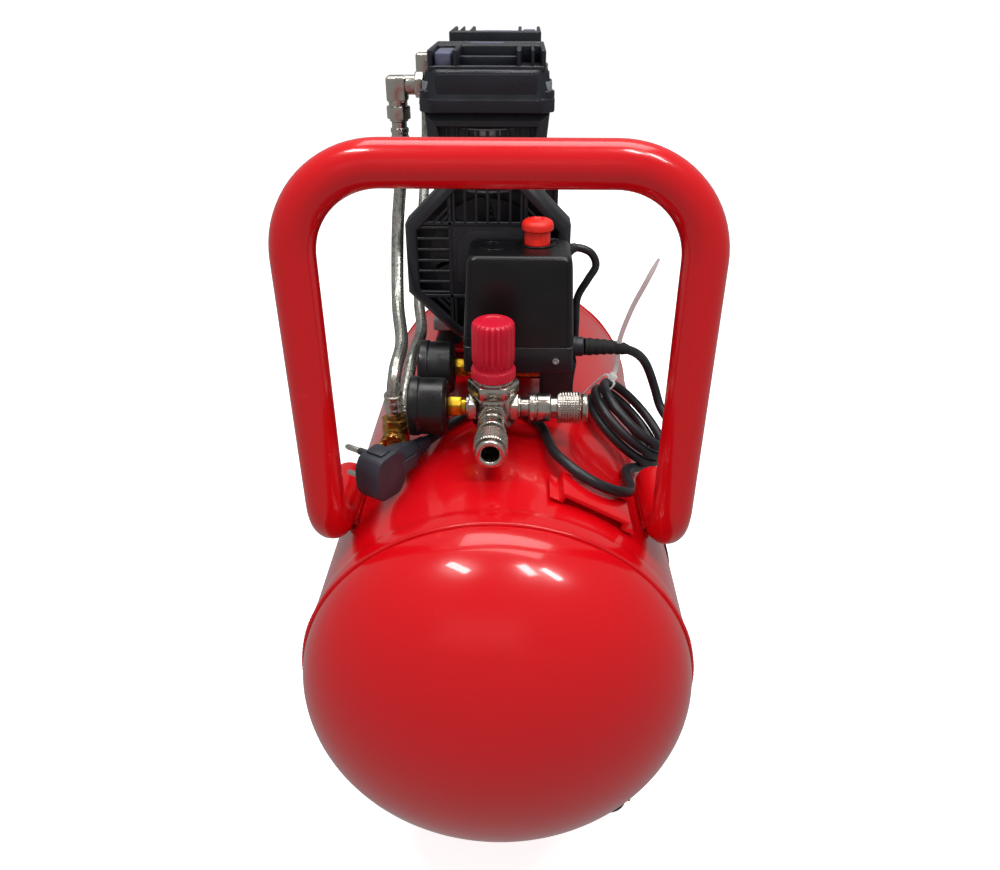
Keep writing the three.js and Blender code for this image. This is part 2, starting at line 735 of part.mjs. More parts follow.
add("pump_platform", pumpPlatform(), RED, [0, PUMP_Y, 0]);

// ---- Check valve and the two delivery hoses ----

const valveSeat = tankTop(VALVE_X) + BUNG_HEIGHT + GAP;
const valveMiddle = valveSeat + 12;
const valveTop = valveMiddle + 15;
const valveBack = VALVE_Y + 16;

function checkValve() {
  const thread = disc(PORT_RADIUS - GAP, valveSeat - 14, valveSeat + 2, FACETS.small);
  const nut = hexagon(18, valveSeat, valveSeat + 6);
  const column = disc(8, valveSeat, valveTop, FACETS.small);
  const cross = aimed(disc(9, -14, 16, FACETS.small), BACK, 0, 0, valveMiddle);
  const cap = aimed(hexagon(18, 12, 16), FRONT, 0, 0, valveMiddle);
  return join(thread, nut, column, cross, cap);
}

add("check_valve", checkValve(), BRASS, [VALVE_X, VALVE_Y, 0]);

// A braided hose with a ferrule on each end. The ferrules stand on the first and last stretch.
function hose(points) {
  const curve = new THREE.CatmullRomCurve3(points, false, "centripetal");
  const ferruleLength = 17;
  const ferrule = disc(FERRULE_RADIUS, 0, ferruleLength, FACETS.small);
  const first = aimed(ferrule, curve.getTangent(0), ...points[0].toArray());
  const last = aimed(ferrule, curve.getTangent(1).negate(), ...points.at(-1).toArray());
  return join(sweep(curve, HOSE_RADIUS, FACETS.hose, 30), first, last);
}

const hoseTop = (y) => point(PUMP_X - ELBOW_REACH, y, shaftZ + elbowEnd - GAP);
const frontHoseY = PUMP_Y - halfSpacing;
const rearHoseY = PUMP_Y + halfSpacing;

function frontHose() {
  const top = hoseTop(frontHoseY);
  const bottom = point(VALVE_X, VALVE_Y, valveTop + GAP);
  return hose([
    top,
    point(top.x, top.y, top.z - 18),
    point(top.x - 1, top.y - 4, top.z - 40),
    point(top.x - 3, top.y - 15, top.z - 66),
    point(top.x - 3, top.y - 32, top.z - 94),
    point(top.x - 1, top.y - 54, top.z - 118),
    point(bottom.x + 2, bottom.y + 36, bottom.z + 37),
    point(bottom.x + 1, bottom.y + 10, bottom.z + 30),
    point(bottom.x, bottom.y, bottom.z + 17),
    bottom,
  ]);
}

function rearHose() {
  const top = hoseTop(rearHoseY);
  const bottom = point(VALVE_X, valveBack + GAP, valveMiddle);
  return hose([
    top,
    point(top.x, top.y, top.z - 18),
    point(top.x - 1, top.y - 6, top.z - 48),
    point(top.x - 2, top.y - 40, top.z - 92),
    point(top.x - 1, top.y - 86, top.z - 128),
    point(top.x + 2, top.y - 136, top.z - 150),
    point(top.x + 8, top.y - 176, top.z - 160),
    point(bottom.x + 2, bottom.y + 66, bottom.z + 20),
    point(bottom.x, bottom.y + 36, bottom.z + 6),
    point(bottom.x, bottom.y + 17, bottom.z),
    bottom,
  ]);
}

add("delivery_hose_front", frontHose(), STEEL);
add("delivery_hose_rear", rearHose(), STEEL);

// ---- Manifold, safety valve, regulator, gauges and couplers ----

const controlZ = TANK_RADIUS + CONTROL_HEIGHT;
const manifoldEnd = REGULATOR_X - PORT_REACH;
const riserSeat = tankTop(RISER_X) + BUNG_HEIGHT + GAP;

function manifold() {
  const thread = disc(PORT_RADIUS - GAP, riserSeat - 14, riserSeat + 2, FACETS.small);
  const riser = disc(8, riserSeat, controlZ + 4, FACETS.small);
  const bar = aimed(disc(MANIFOLD_RADIUS, 0, RISER_X - manifoldEnd, FACETS.small), LEFT, 0, 0, controlZ);
  const toRegulator = RISER_Y - (REGULATOR_Y + PORT_REACH + GAP);
  const nipple = aimed(disc(5.5, 0, toRegulator, FACETS.small), FRONT, REGULATOR_X - RISER_X, 0, controlZ);
  const nut = aimed(hexagon(14, 28, 36), FRONT, REGULATOR_X - RISER_X, 0, controlZ);
  return join(thread, riser, bar, nipple, nut);
}

add("manifold", manifold(), BRASS, [RISER_X, RISER_Y, 0]);

const valveX = REGULATOR_X - 8;
const safetySeat = MANIFOLD_RADIUS + GAP;

// The valve's stem and ring stand clear of its body, so that the ring can lift it.
add(
  "safety_valve",
  aimed(
    join(hexagon(13, 0, 6), disc(6, 5, 15, FACETS.small)),
    BACK,
  ),
  BRASS,
  [valveX, RISER_Y + safetySeat, controlZ],
);
add(
  "safety_valve_ring",
  aimed(
    join(
      disc(1.5, 0, 4, 8),
      ring(4.5, 6.5, -0.8, 0.8, FACETS.small).rotateX(Math.PI / 2).translate(0, 0, 4 + 5.5),
    ),
    BACK,
  ),
  STEEL,
  [valveX, RISER_Y + safetySeat + 15 + GAP, controlZ],
);

function regulatorBody() {
  const column = disc(14.5, -12, 11);
  const foot = disc(10, -16, -11, FACETS.small);
  const arms = [LEFT, RIGHT, FRONT, BACK].map((way) => aimed(disc(8, 0, PORT_REACH, FACETS.small), way));
  const bonnet = hexagon(30, 10, BONNET_HEIGHT).rotateZ(Math.PI / 6);
  const spindle = disc(5, BONNET_HEIGHT - 1, BONNET_HEIGHT + 20, FACETS.small);
  return join(column, foot, ...arms, bonnet, spindle);
}

function regulatorKnob() {
  const bore = 5 + RUNNING_GAP;
  return turned([
    [bore, 0],
    [KNOB_RADIUS + 0.6, 0],
    [KNOB_RADIUS + 0.6, 7],
    [KNOB_RADIUS - 0.8, 8],
    [KNOB_RADIUS - 0.8, 11],
    [KNOB_RADIUS, 12],
    [KNOB_RADIUS - 1, KNOB_HEIGHT - 3],
    [KNOB_RADIUS - 4, KNOB_HEIGHT],
    [0, KNOB_HEIGHT],
    [0, 26],
    [bore, 26],
  ]);
}

add("regulator_body", regulatorBody(), NICKEL, [REGULATOR_X, REGULATOR_Y, controlZ]);
add("regulator_knob", regulatorKnob(), CRIMSON, [REGULATOR_X, REGULATOR_Y, controlZ + BONNET_HEIGHT + GAP]);

// A gauge whose stem starts at the port and whose open dial is at the far end.
function gaugeCase() {
  const back = GAUGE_STEM;
  const front = GAUGE_STEM + GAUGE_DEPTH;
  return turned(
    [
      [0, 0],
      [5.5, 0],
      [5.5, 3],
      [7.5, 3],
      [7.5, back - 2],
      [10, back],
      [GAUGE_RADIUS - 2, back],
      [GAUGE_RADIUS - 1, back + 2],
      [GAUGE_RADIUS - 1, front - 7],
      [GAUGE_RADIUS, front - 7],
      [GAUGE_RADIUS, front],
      [GAUGE_RADIUS - 2, front],
      [GAUGE_RADIUS - 2, front - DIAL_RECESS],
      [0, front - DIAL_RECESS],
    ],
    FACETS.tank / 2 + 6,
  );
}

function gaugeNeedle() {
  const hub = disc(2.2, 0, 2.4, FACETS.small);
  const pointer = box(1.2, 16, 0.8).translate(0, 5, 1.2);
  return join(hub, pointer);
}

// The needle rests at the start of the scale, low on the left as the dial is read.
const needleRest = THREE.MathUtils.degToRad(135);
const gauges = [
  ["outlet_gauge", REGULATOR_X - PORT_REACH - GAP, REGULATOR_Y],
  ["tank_gauge", manifoldEnd - GAP, RISER_Y],
];
for (const [name, x, y] of gauges) {
  add(name + "_case", aimed(gaugeCase(), LEFT), BLACK, [x, y, controlZ]);
  const dialX = x - GAUGE_STEM - GAUGE_DEPTH + DIAL_RECESS - GAP;
  add(name + "_needle", aimed(gaugeNeedle().rotateZ(needleRest), LEFT), BLACK, [dialX, y, controlZ]);
}

const sleeveStart = 20;

function couplerBody() {
  const neck = 6.2;
  const barrel = SLEEVE_RADIUS - 3;
  return turned(
    [
      [COUPLER_BORE - 2.5, 0],
      [neck, 0],
      [neck, 5],
      [COUPLER_RADIUS, 5],
      [COUPLER_RADIUS, sleeveStart - GAP],
      [barrel, sleeveStart - GAP],
      [barrel, COUPLER_LENGTH - 4],
      [COUPLER_RADIUS, COUPLER_LENGTH - 4],
      [COUPLER_RADIUS, COUPLER_LENGTH],
      [COUPLER_BORE, COUPLER_LENGTH],
      [COUPLER_BORE, 14],
      [COUPLER_BORE - 2.5, 14],
    ],
    FACETS.round,
  );
}

function couplerSleeve() {
  const bore = SLEEVE_RADIUS - 3 + RUNNING_GAP;
  return ring(bore, SLEEVE_RADIUS, 0, SLEEVE_LENGTH, FACETS.round);
}

const couplers = [
  ["front_coupler", REGULATOR_X, REGULATOR_Y - PORT_REACH - GAP, FRONT],
  ["side_coupler", REGULATOR_X + PORT_REACH + GAP, REGULATOR_Y, RIGHT],
];
for (const [name, x, y, way] of couplers) {
  add(name + "_body", aimed(couplerBody(), way), NICKEL, [x, y, controlZ]);
  const sleevePlace = point(x, y, controlZ).addScaledVector(way, sleeveStart + SLEEVE_TRAVEL + GAP / 2);
  add(name + "_sleeve", aimed(couplerSleeve(), way), NICKEL, sleevePlace.toArray());
}

// ---- Pressure switch ----

const baseZ = controlZ + MANIFOLD_RADIUS + GAP;
const coverZ = baseZ + SWITCH_BASE_HEIGHT + GAP;
const coverTop = coverZ + SWITCH_COVER_HEIGHT;

function switchBase() {
  const tray = box(SWITCH_WIDTH, SWITCH_DEPTH, SWITCH_BASE_HEIGHT).translate(0, 0, SWITCH_BASE_HEIGHT / 2);
  const block = box(46, 32, 30).translate(0, 0, SWITCH_BASE_HEIGHT + 14);
  const neckX = RISER_X - SWITCH_X;
  const neckBottom = riserSeat + 1 - baseZ;
  const neck = box(24, 26, -neckBottom + 1).translate(neckX, 0, (neckBottom + 1) / 2);
  const riserRoom = disc(8 + GAP, neckBottom - 1, controlZ + 4 + GAP - baseZ, FACETS.small);
  const barRoom = aimed(disc(MANIFOLD_RADIUS + GAP, 0, 30, FACETS.small), LEFT, neckX, 0, controlZ - baseZ);
  const gland = aimed(
    ring(CORD_RADIUS + GAP, GLAND_RADIUS, -6, GLAND_LENGTH, FACETS.small),
    RIGHT,
    SWITCH_WIDTH / 2,
    0,
    SWITCH_BASE_HEIGHT / 2,
  );
  const glandBore = disc(CORD_RADIUS + GAP, -7, 10, FACETS.small);
  const glandHole = aimed(glandBore, RIGHT, SWITCH_WIDTH / 2, 0, SWITCH_BASE_HEIGHT / 2);
  return cut(join(tray, block, neck, gland), riserRoom.translate(neckX, 0, 0), barRoom, glandHole);
}

// A box that leans in towards its top by the draft on every side.
function draftedBox(width, depth, height, draft) {
  const geometry = box(width, depth, height).translate(0, 0, height / 2);
  const corners = geometry.getAttribute("position");
  for (const i of range(corners.count)) {
    if (corners.getZ(i) < height / 2) continue;
    corners.setX(i, corners.getX(i) * (1 - (2 * draft) / width));
    corners.setY(i, corners.getY(i) * (1 - (2 * draft) / depth));
  }
  return geometry;
}

function switchCover() {
  const outside = draftedBox(SWITCH_WIDTH, SWITCH_DEPTH, SWITCH_COVER_HEIGHT, SWITCH_DRAFT);
  const wall = 2 * SWITCH_WALL;
  const room = draftedBox(
    SWITCH_WIDTH - wall,
    SWITCH_DEPTH - wall,
    SWITCH_COVER_HEIGHT - SWITCH_WALL,
    SWITCH_DRAFT,
  ).translate(0, 0, -GAP);
  const hole = disc(STOP_KNOB_RADIUS + RUNNING_GAP, 0, SWITCH_COVER_HEIGHT + 1);
  hole.translate(STOP_KNOB_X - SWITCH_X, STOP_KNOB_Y - SWITCH_Y, 0);
  const marker = ring(8, 10, SWITCH_COVER_HEIGHT - 1, SWITCH_COVER_HEIGHT + 0.8).translate(-18, 2, 0);
  return cut(join(cut(outside, room), marker), hole);
}

function stopKnob() {
  return turned([
    [0, -STOP_KNOB_RISE],
    [STOP_KNOB_RADIUS, -STOP_KNOB_RISE],
    [STOP_KNOB_RADIUS, STOP_KNOB_RISE - 7],
    [STOP_KNOB_CAP, STOP_KNOB_RISE - 6],
    [STOP_KNOB_CAP, STOP_KNOB_RISE - 2],
    [STOP_KNOB_CAP - 2.5, STOP_KNOB_RISE],
    [0, STOP_KNOB_RISE],
  ]);
}

add("switch_base", switchBase(), BLACK, [SWITCH_X, SWITCH_Y, baseZ]);
add("switch_cover", switchCover(), BLACK, [SWITCH_X, SWITCH_Y, coverZ]);
add("switch_knob", stopKnob(), ORANGE, [STOP_KNOB_X, STOP_KNOB_Y, coverTop]);

// ---- Leads ----

// The motor's lead leaves the cover's back, loops out and runs under the guard to the motor.
const motorLead = [
  point(44, -14, coverTop - 10),
  point(52, -10.5, coverTop - 9),
  point(62, -10, coverTop - 13),
  point(66, -10, coverTop - 22),
  point(61, -10.5, coverTop - 32),
  point(54, -10.5, coverTop - 46),
  point(53.5, -10, coverTop - 66),
  point(54, -4, coverTop - 84),
  point(54, 12, coverTop - 94),
  point(52, 40, coverTop - 92),
  point(48, 66, coverTop - 78),
  point(43.5, 82, coverTop - 62),
  point(40, 90, coverTop - 50),
];
add("motor_lead", laid(motorLead, LEAD_RADIUS, 26), BLACK);

// ---- Power cord ----

const coilPitch = 2 * CORD_RADIUS + GAP;
const coilRise = TANK_RADIUS + GAP;

// A round coil that lies on the tank's shoulder.
function cordCoil() {
  const half = CORD_RADIUS + 2 * GAP;
  return ring(COIL_RADIUS - half, COIL_RADIUS + half, 0, COIL_LAYERS * coilPitch, FACETS.round + 4);
}

const coilPlace = [coilRise * Math.sin(COIL_ANGLE), COIL_Y, coilRise * Math.cos(COIL_ANGLE)];
add("power_cord_coil", cordCoil(), BLACK, coilPlace).rotation.y = COIL_ANGLE;

// The angled mains plug: its origin is the middle of its head, +X runs to the cord and +Y along the pins.
function mainsPlug() {
  const half = PLUG_DEPTH / 2;
  const head = aimed(disc(PLUG_RADIUS, -half, half - 2, FACETS.small), BACK);
  const face = aimed(disc(PLUG_RADIUS - 2, 0, half, FACETS.small), BACK);
  const grip = aimed(
    turned(
      [
        [0, half - 2],
        [half, half - 2],
        [CORD_RADIUS + 3.5, PLUG_LENGTH - 16],
        [CORD_RADIUS + 1, PLUG_LENGTH - 14],
        [CORD_RADIUS + 0.8, PLUG_LENGTH],
        [0, PLUG_LENGTH],
      ],
      FACETS.hose,
    ),
    RIGHT,
  );
  const pin = disc(PIN_RADIUS, 0, half + PIN_LENGTH, FACETS.hose);
  const pins = [-1, 1].map((side) => aimed(pin, BACK, 0, 0, side * PIN_SPREAD));
  return join(head, face, grip, ...pins);
}

const cordEnd = point(-50, -106, 121.2);
const plugAlong = point(0.5, 0.86, -0.04).normalize();
const plugPins = UP.clone().cross(plugAlong).normalize();
const plugUp = plugAlong.clone().cross(plugPins);
const plug = add("mains_plug", mainsPlug(), BLACK);
plug.position.copy(cordEnd).addScaledVector(plugAlong, -PLUG_LENGTH - GAP);
plug.quaternion.setFromRotationMatrix(new THREE.Matrix4().makeBasis(plugAlong, plugPins, plugUp));

// From the coil's lowest turn beside the handle's foot, over the data-plate bracket and under the side
// coupler, then behind the regulator to the plug.
const cordRoute = [
  point(91.4, -89, 90.9),
  point(87.6, -97, 94.3),
  point(86, -109, 97),
  point(86.5, -123, 100),
  point(85.5, -136, 104),
  point(81, -147.5, 110),
  point(72, -154.5, 116),
  point(60.5, -156.5, 122.2),
  point(49.5, -152, 127),
  point(40.5, -142.5, 129.5),
  point(35, -131, 129),
  point(32.5, -118.5, 127.5),
  point(30.5, -105.5, 126.5),
  point(27.5, -93, 126),
  point(21.5, -82, 127),
  point(11.5, -73.5, 128.5),
  point(-0.5, -70, 129.2),
  point(-13.5, -71.5, 128.2),
  point(-25, -77.5, 126.5),
  point(-35, -85.5, 124),
  point(-43, -95, 121.6),
  cordEnd,
];
add("power_cord", laid(cordRoute, CORD_RADIUS, 34), BLACK);

// From the switch's gland out and down onto the coil.
const cordRise = [
  point(SWITCH_X + SWITCH_WIDTH / 2 + GLAND_LENGTH + GAP, SWITCH_Y, baseZ + SWITCH_BASE_HEIGHT / 2),
  point(81.5, -37.6, 161.2),
  point(92.3, -31.9, 156.6),
  point(100.6, -24.8, 149.5),
  point(107.1, -18.2, 140.1),
  point(112.3, -14.5, 129),
  point(117.1, -15, 116.4),
  point(121.4, -21, 104.4),
];
add("power_cord_rise", laid(cordRise, CORD_RADIUS, 12), BLACK);

export default compressor;
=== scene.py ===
"""Looks for the air compressor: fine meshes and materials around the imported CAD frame.

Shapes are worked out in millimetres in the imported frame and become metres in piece().
"""

from math import atan2, cos, pi, radians, sin, sqrt, tan

import bmesh
import bpy
from mathutils import Matrix, Vector


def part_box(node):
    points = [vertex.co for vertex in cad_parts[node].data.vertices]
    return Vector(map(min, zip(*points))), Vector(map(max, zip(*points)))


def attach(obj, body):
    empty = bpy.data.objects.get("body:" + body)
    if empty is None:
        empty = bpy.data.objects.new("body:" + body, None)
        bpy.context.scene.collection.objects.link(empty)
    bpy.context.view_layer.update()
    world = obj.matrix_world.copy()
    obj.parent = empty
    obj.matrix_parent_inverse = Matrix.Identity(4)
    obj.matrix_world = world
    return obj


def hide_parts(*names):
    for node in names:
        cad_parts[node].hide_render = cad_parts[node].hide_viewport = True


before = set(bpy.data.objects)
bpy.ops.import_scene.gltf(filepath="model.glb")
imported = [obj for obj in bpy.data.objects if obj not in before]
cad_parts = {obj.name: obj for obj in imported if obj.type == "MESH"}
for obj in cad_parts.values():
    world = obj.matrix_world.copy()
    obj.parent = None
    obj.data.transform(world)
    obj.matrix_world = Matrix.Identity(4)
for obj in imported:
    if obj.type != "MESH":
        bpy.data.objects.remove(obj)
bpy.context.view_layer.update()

MM = 0.001
ROOT = "compressor"
UP = Vector((0, 0, 1))
DOWN = Vector((0, 0, -1))
LEFT = Vector((-1, 0, 0))
RIGHT = Vector((1, 0, 0))
FRONT = Vector((0, -1, 0))
BACK = Vector((0, 1, 0))
GAP = 0.3


# ---- Places, from the frame ----

def low(node):
    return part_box(node)[0] / MM


def high(node):
    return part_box(node)[1] / MM


def middle(node):
    return (low(node) + high(node)) / 2


tank_axis = middle("tank_front_head").z
tank_radius = (high("tank_front_head").x - low("tank_front_head").x) / 2
front_seam = high("tank_front_head").y
rear_seam = low("tank_rear_head").y
tank_dome = front_seam - low("tank_front_head").y
shaft = middle("motor_shaft")
BUNG_RISE = 6  # how far the tank's threaded bungs stand up
RISER_X, RISER_Y = 39, -40  # the manifold's riser
VALVE_Y = -98  # the check valve
ELBOW_REACH = 64  # from the pump's middle out to the elbows and hoses
CONTROL_RISE = 20  # from the tank's top up to the regulator, gauges and couplers
control_z = tank_axis + tank_radius + CONTROL_RISE


def tank_top(x):
    return tank_axis + sqrt(tank_radius**2 - x**2)


# ---- Camera ----

CAMERA_PLACE = (0.01172, -0.57094, 0.58629)
CAMERA_PITCH = radians(30.2)  # down from level
CAMERA_YAW = radians(1.51)  # to the left of +Y
CAMERA_LENS = 28.8


def make_camera():
    data = bpy.data.cameras.new("camera")
    data.lens = CAMERA_LENS
    data.sensor_width = 36
    data.clip_start = 0.01
    camera = bpy.data.objects.new("camera", data)
    camera.location = CAMERA_PLACE
    camera.rotation_euler = (pi / 2 - CAMERA_PITCH, 0, CAMERA_YAW)
    bpy.context.scene.collection.objects.link(camera)
    bpy.context.scene.camera = camera


make_camera()


# ---- Mesh helpers ----

def aim(direction, origin=(0, 0, 0)):
    """A matrix that turns +Z to the direction and moves to the origin."""
    turn = UP.rotation_difference(Vector(direction)).to_matrix().to_4x4()
    return Matrix.Translation(Vector(origin)) @ turn


def moved(bm, matrix):
    bm.transform(matrix)
    return bm


def aimed(bm, direction, origin=(0, 0, 0)):
    return moved(bm, aim(direction, origin))


def shifted(bm, x=0, y=0, z=0):
    return moved(bm, Matrix.Translation((x, y, z)))


def softened(bm, width, segments=2, angle=30):
    """Rounds every edge sharper than the angle."""
    sharp = radians(angle)
    edges = [e for e in bm.edges if len(e.link_faces) == 2 and e.calc_face_angle(0) > sharp]
    bmesh.ops.bevel(
        bm, geom=edges, offset=width, segments=segments, profile=0.5, affect="EDGES", clamp_overlap=True,
    )
    return bm


def rounded(outline, radius, steps=3, closed=False):
    """The outline with an arc-like curve at each corner."""
    points = [Vector(p) for p in outline]
    count = len(points)
    result = []
    for i, corner in enumerate(points):
        if not closed and i in (0, count - 1):
            result.append(tuple(corner))
            continue
        before = points[i - 1] - corner
        after = points[(i + 1) % count] - corner
        reach = min(radius, before.length * 0.45, after.length * 0.45)
        start = corner + before.normalized() * reach
        end = corner + after.normalized() * reach
        for k in range(steps + 1):
            t = k / steps
            result.append(tuple(start * (1 - t) ** 2 + corner * 2 * t * (1 - t) + end * t**2))
    return result


def revolved(outline, sides=48, closed=False, wave=None):
    """A round shape about +Z from (radius, height) pairs.

    wave(angle, radius, height) gives another radius.
    """
    bm = bmesh.new()
    rings = []
    for radius, height in outline:
        if radius < 1e-6:
            rings.append([bm.verts.new((0, 0, height))])
            continue
        ring = []
        for i in range(sides):
            angle = 2 * pi * i / sides
            r = wave(angle, radius, height) if wave else radius
            ring.append(bm.verts.new((r * cos(angle), r * sin(angle), height)))
        rings.append(ring)
    pairs = list(zip(rings, rings[1:]))
    if closed:
        pairs.append((rings[-1], rings[0]))
    for a, b in pairs:
        for i in range(sides):
            j = (i + 1) % sides
            if len(a) == 1 and len(b) == 1:
                break
            if len(a) == 1:
                bm.faces.new((a[0], b[j], b[i]))
            elif len(b) == 1:
                bm.faces.new((a[i], a[j], b[0]))
            else:
                bm.faces.new((a[i], a[j], b[j], b[i]))
    bmesh.ops.recalc_face_normals(bm, faces=bm.faces)
    return bm


def disc(radius, start, end, sides=32, bevel=0.6):
    outline = [(0, start), (radius, start), (radius, end), (0, end)]
    return revolved(rounded(outline, bevel), sides)


def ring(inner, outer, start, end, sides=32, bevel=0.5):
    outline = [(inner, start), (outer, start), (outer, end), (inner, end)]
    return revolved(rounded(outline, bevel, closed=True), sides, closed=True)


def prism(outline, start, end, bevel=0.6, segments=2):
    """A flat outline of (x, y) pairs pushed from start to end along +Z, with soft edges."""
    bm = bmesh.new()
    bottom = [bm.verts.new((x, y, start)) for x, y in outline]
    top = [bm.verts.new((x, y, end)) for x, y in outline]
    bm.faces.new(bottom)
    bm.faces.new(top)
    count = len(outline)
    for i in range(count):
        j = (i + 1) % count
        bm.faces.new((bottom[i], bottom[j], top[j], top[i]))
    bmesh.ops.recalc_face_normals(bm, faces=bm.faces)
    return softened(bm, bevel, segments) if bevel else bm


def along_y(bm):
    """Turns a shape made in x and y and pushed along z into one made in x and z and pushed along y."""
    return moved(bm, Matrix(((1, 0, 0, 0), (0, 0, 1, 0), (0, 1, 0, 0), (0, 0, 0, 1))))


def block(width, depth, height, x=0, y=0, z=0, bevel=0.8, segments=2):
    w, d = width / 2, depth / 2
    outline = [(-w, -d), (w, -d), (w, d), (-w, d)]
    return shifted(prism(outline, -height / 2, height / 2, bevel, segments), x, y, z)


def hexagon(flats, start, end, bevel=0.7):
    """A hexagonal nut with its corners turned off."""
    radius = flats / sqrt(3)
    outline = [(radius * cos(pi * k / 3), radius * sin(pi * k / 3)) for k in range(6)]
    return prism(outline, start, end, bevel, 2)


def cap_screw(radius, height, socket=0.5):
    """A socket-head screw that stands on z = 0."""
    hole = radius * socket
    outline = [(0, height * 0.45), (hole, height * 0.45), (hole, height), (radius, height), (radius, 0)]
    return revolved(rounded(outline, radius * 0.15, 2), 24)


def path_through(points, spacing):
    """Evenly spaced points on the centripetal Catmull-Rom curve through the given ones."""
    p = [Vector(q) for q in points]
    p = [2 * p[0] - p[1], *p, 2 * p[-1] - p[-2]]
    fine = []
    for a, b, c, d in zip(p, p[1:], p[2:], p[3:]):
        t0, t1, t2 = ((b - a).length ** 0.5, (c - b).length ** 0.5, (d - c).length ** 0.5)
        m1 = ((b - a) / t0 - (c - a) / (t0 + t1) + (c - b) / t1) * t1
        m2 = ((c - b) / t1 - (d - b) / (t1 + t2) + (d - c) / t2) * t1
        for k in range(24):
            t = k / 24
            h1, h2 = 2 * t**3 - 3 * t**2 + 1, t**3 - 2 * t**2 + t
            h3, h4 = -2 * t**3 + 3 * t**2, t**3 - t**2
            fine.append(b * h1 + m1 * h2 + c * h3 + m2 * h4)
    fine.append(p[-2])
    return even(fine, spacing)


def even(points, spacing):
    """The same line with its points evenly spaced."""
    lengths = [0]
    for a, b in zip(points, points[1:]):
        lengths.append(lengths[-1] + (b - a).length)
    count = max(2, round(lengths[-1] / spacing))
    result = []
    k = 0
    for i in range(count + 1):
        at = lengths[-1] * i / count
        while k < len(points) - 2 and lengths[k + 1] < at:
            k += 1
        span = lengths[k + 1] - lengths[k]
        t = min(1, max(0, (at - lengths[k]) / span)) if span else 0
        result.append(points[k].lerp(points[k + 1], t))
    return result


def length_of(points):
    return sum((b - a).length for a, b in zip(points, points[1:]))


def swept(path, radius, sides=16, shape=None, cap=True):
    """A tube along the path. shape(distance, angle) gives a radius in place of the even one."""
    bm = bmesh.new()
    rings = []
    normal = None
    distance = 0
    for i, at in enumerate(path):
        ahead = path[min(i + 1, len(path) - 1)] - path[max(i - 1, 0)]
        tangent = ahead.normalized()
        if normal is None:
            normal = tangent.orthogonal().normalized()
        normal = (normal - tangent * normal.dot(tangent)).normalized()
        side = tangent.cross(normal)
        if i:
            distance += (at - path[i - 1]).length
        turn = []
        for k in range(sides):
            angle = 2 * pi * k / sides
            r = shape(distance, angle) if shape else radius
            turn.append(bm.verts.new(at + normal * (r * cos(angle)) + side * (r * sin(angle))))
        rings.append(turn)
    for a, b in zip(rings, rings[1:]):
        for k in range(sides):
            j = (k + 1) % sides
            bm.faces.new((a[k], a[j], b[j], b[k]))
    if cap:
        bm.faces.new(list(reversed(rings[0])))
        bm.faces.new(rings[-1])
    bmesh.ops.recalc_face_normals(bm, faces=bm.faces)
    return bm


def loft(loops, capped=False):
    """Faces between loops of equal count, capped at both ends or closed from the last to the first."""
    bm = bmesh.new()
    rings = [[bm.verts.new(p) for p in loop] for loop in loops]
    count = len(rings[0])
    pairs = list(zip(rings, rings[1:]))
    if not capped:
        pairs.append((rings[-1], rings[0]))
    for a, b in pairs:
        for k in range(count):
            j = (k + 1) % count
            bm.faces.new((a[k], a[j], b[j], b[k]))
    if capped:
        bm.faces.new(rings[0])
        bm.faces.new(rings[-1])
    bmesh.ops.recalc_face_normals(bm, faces=bm.faces)
    return bm


def piece(name, shapes, material, body=ROOT, replaces=(), sharp=35):
    """One object from one or several shapes in millimetres, riding on its body.
    """
    shapes = shapes if isinstance(shapes, (list, tuple)) else [shapes]
    whole = bmesh.new()
    for shape in shapes:
        part = bpy.data.meshes.new("part")
        shape.to_mesh(part)
        whole.from_mesh(part)
        bpy.data.meshes.remove(part)
        shape.free()
    whole.transform(Matrix.Scale(MM, 4))
    mesh = bpy.data.meshes.new(name)
    whole.to_mesh(mesh)
    whole.free()
    mesh.polygons.foreach_set("use_smooth", [True] * len(mesh.polygons))
    mesh.set_sharp_from_angle(angle=radians(sharp))
    mesh.materials.append(material)
    obj = bpy.data.objects.new(name, mesh)
    bpy.context.scene.collection.objects.link(obj)
    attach(obj, body)
    if replaces:
        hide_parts(*([replaces] if isinstance(replaces, str) else replaces))
    return obj


# ---- Materials ----

def srgb(text):
    """Linear colour of an #rrggbb text."""
    values = [int(text[i:i + 2], 16) / 255 for i in (1, 3, 5)]
    return [v / 12.92 if v <= 0.04045 else ((v + 0.055) / 1.055) ** 2.4 for v in values] + [1]


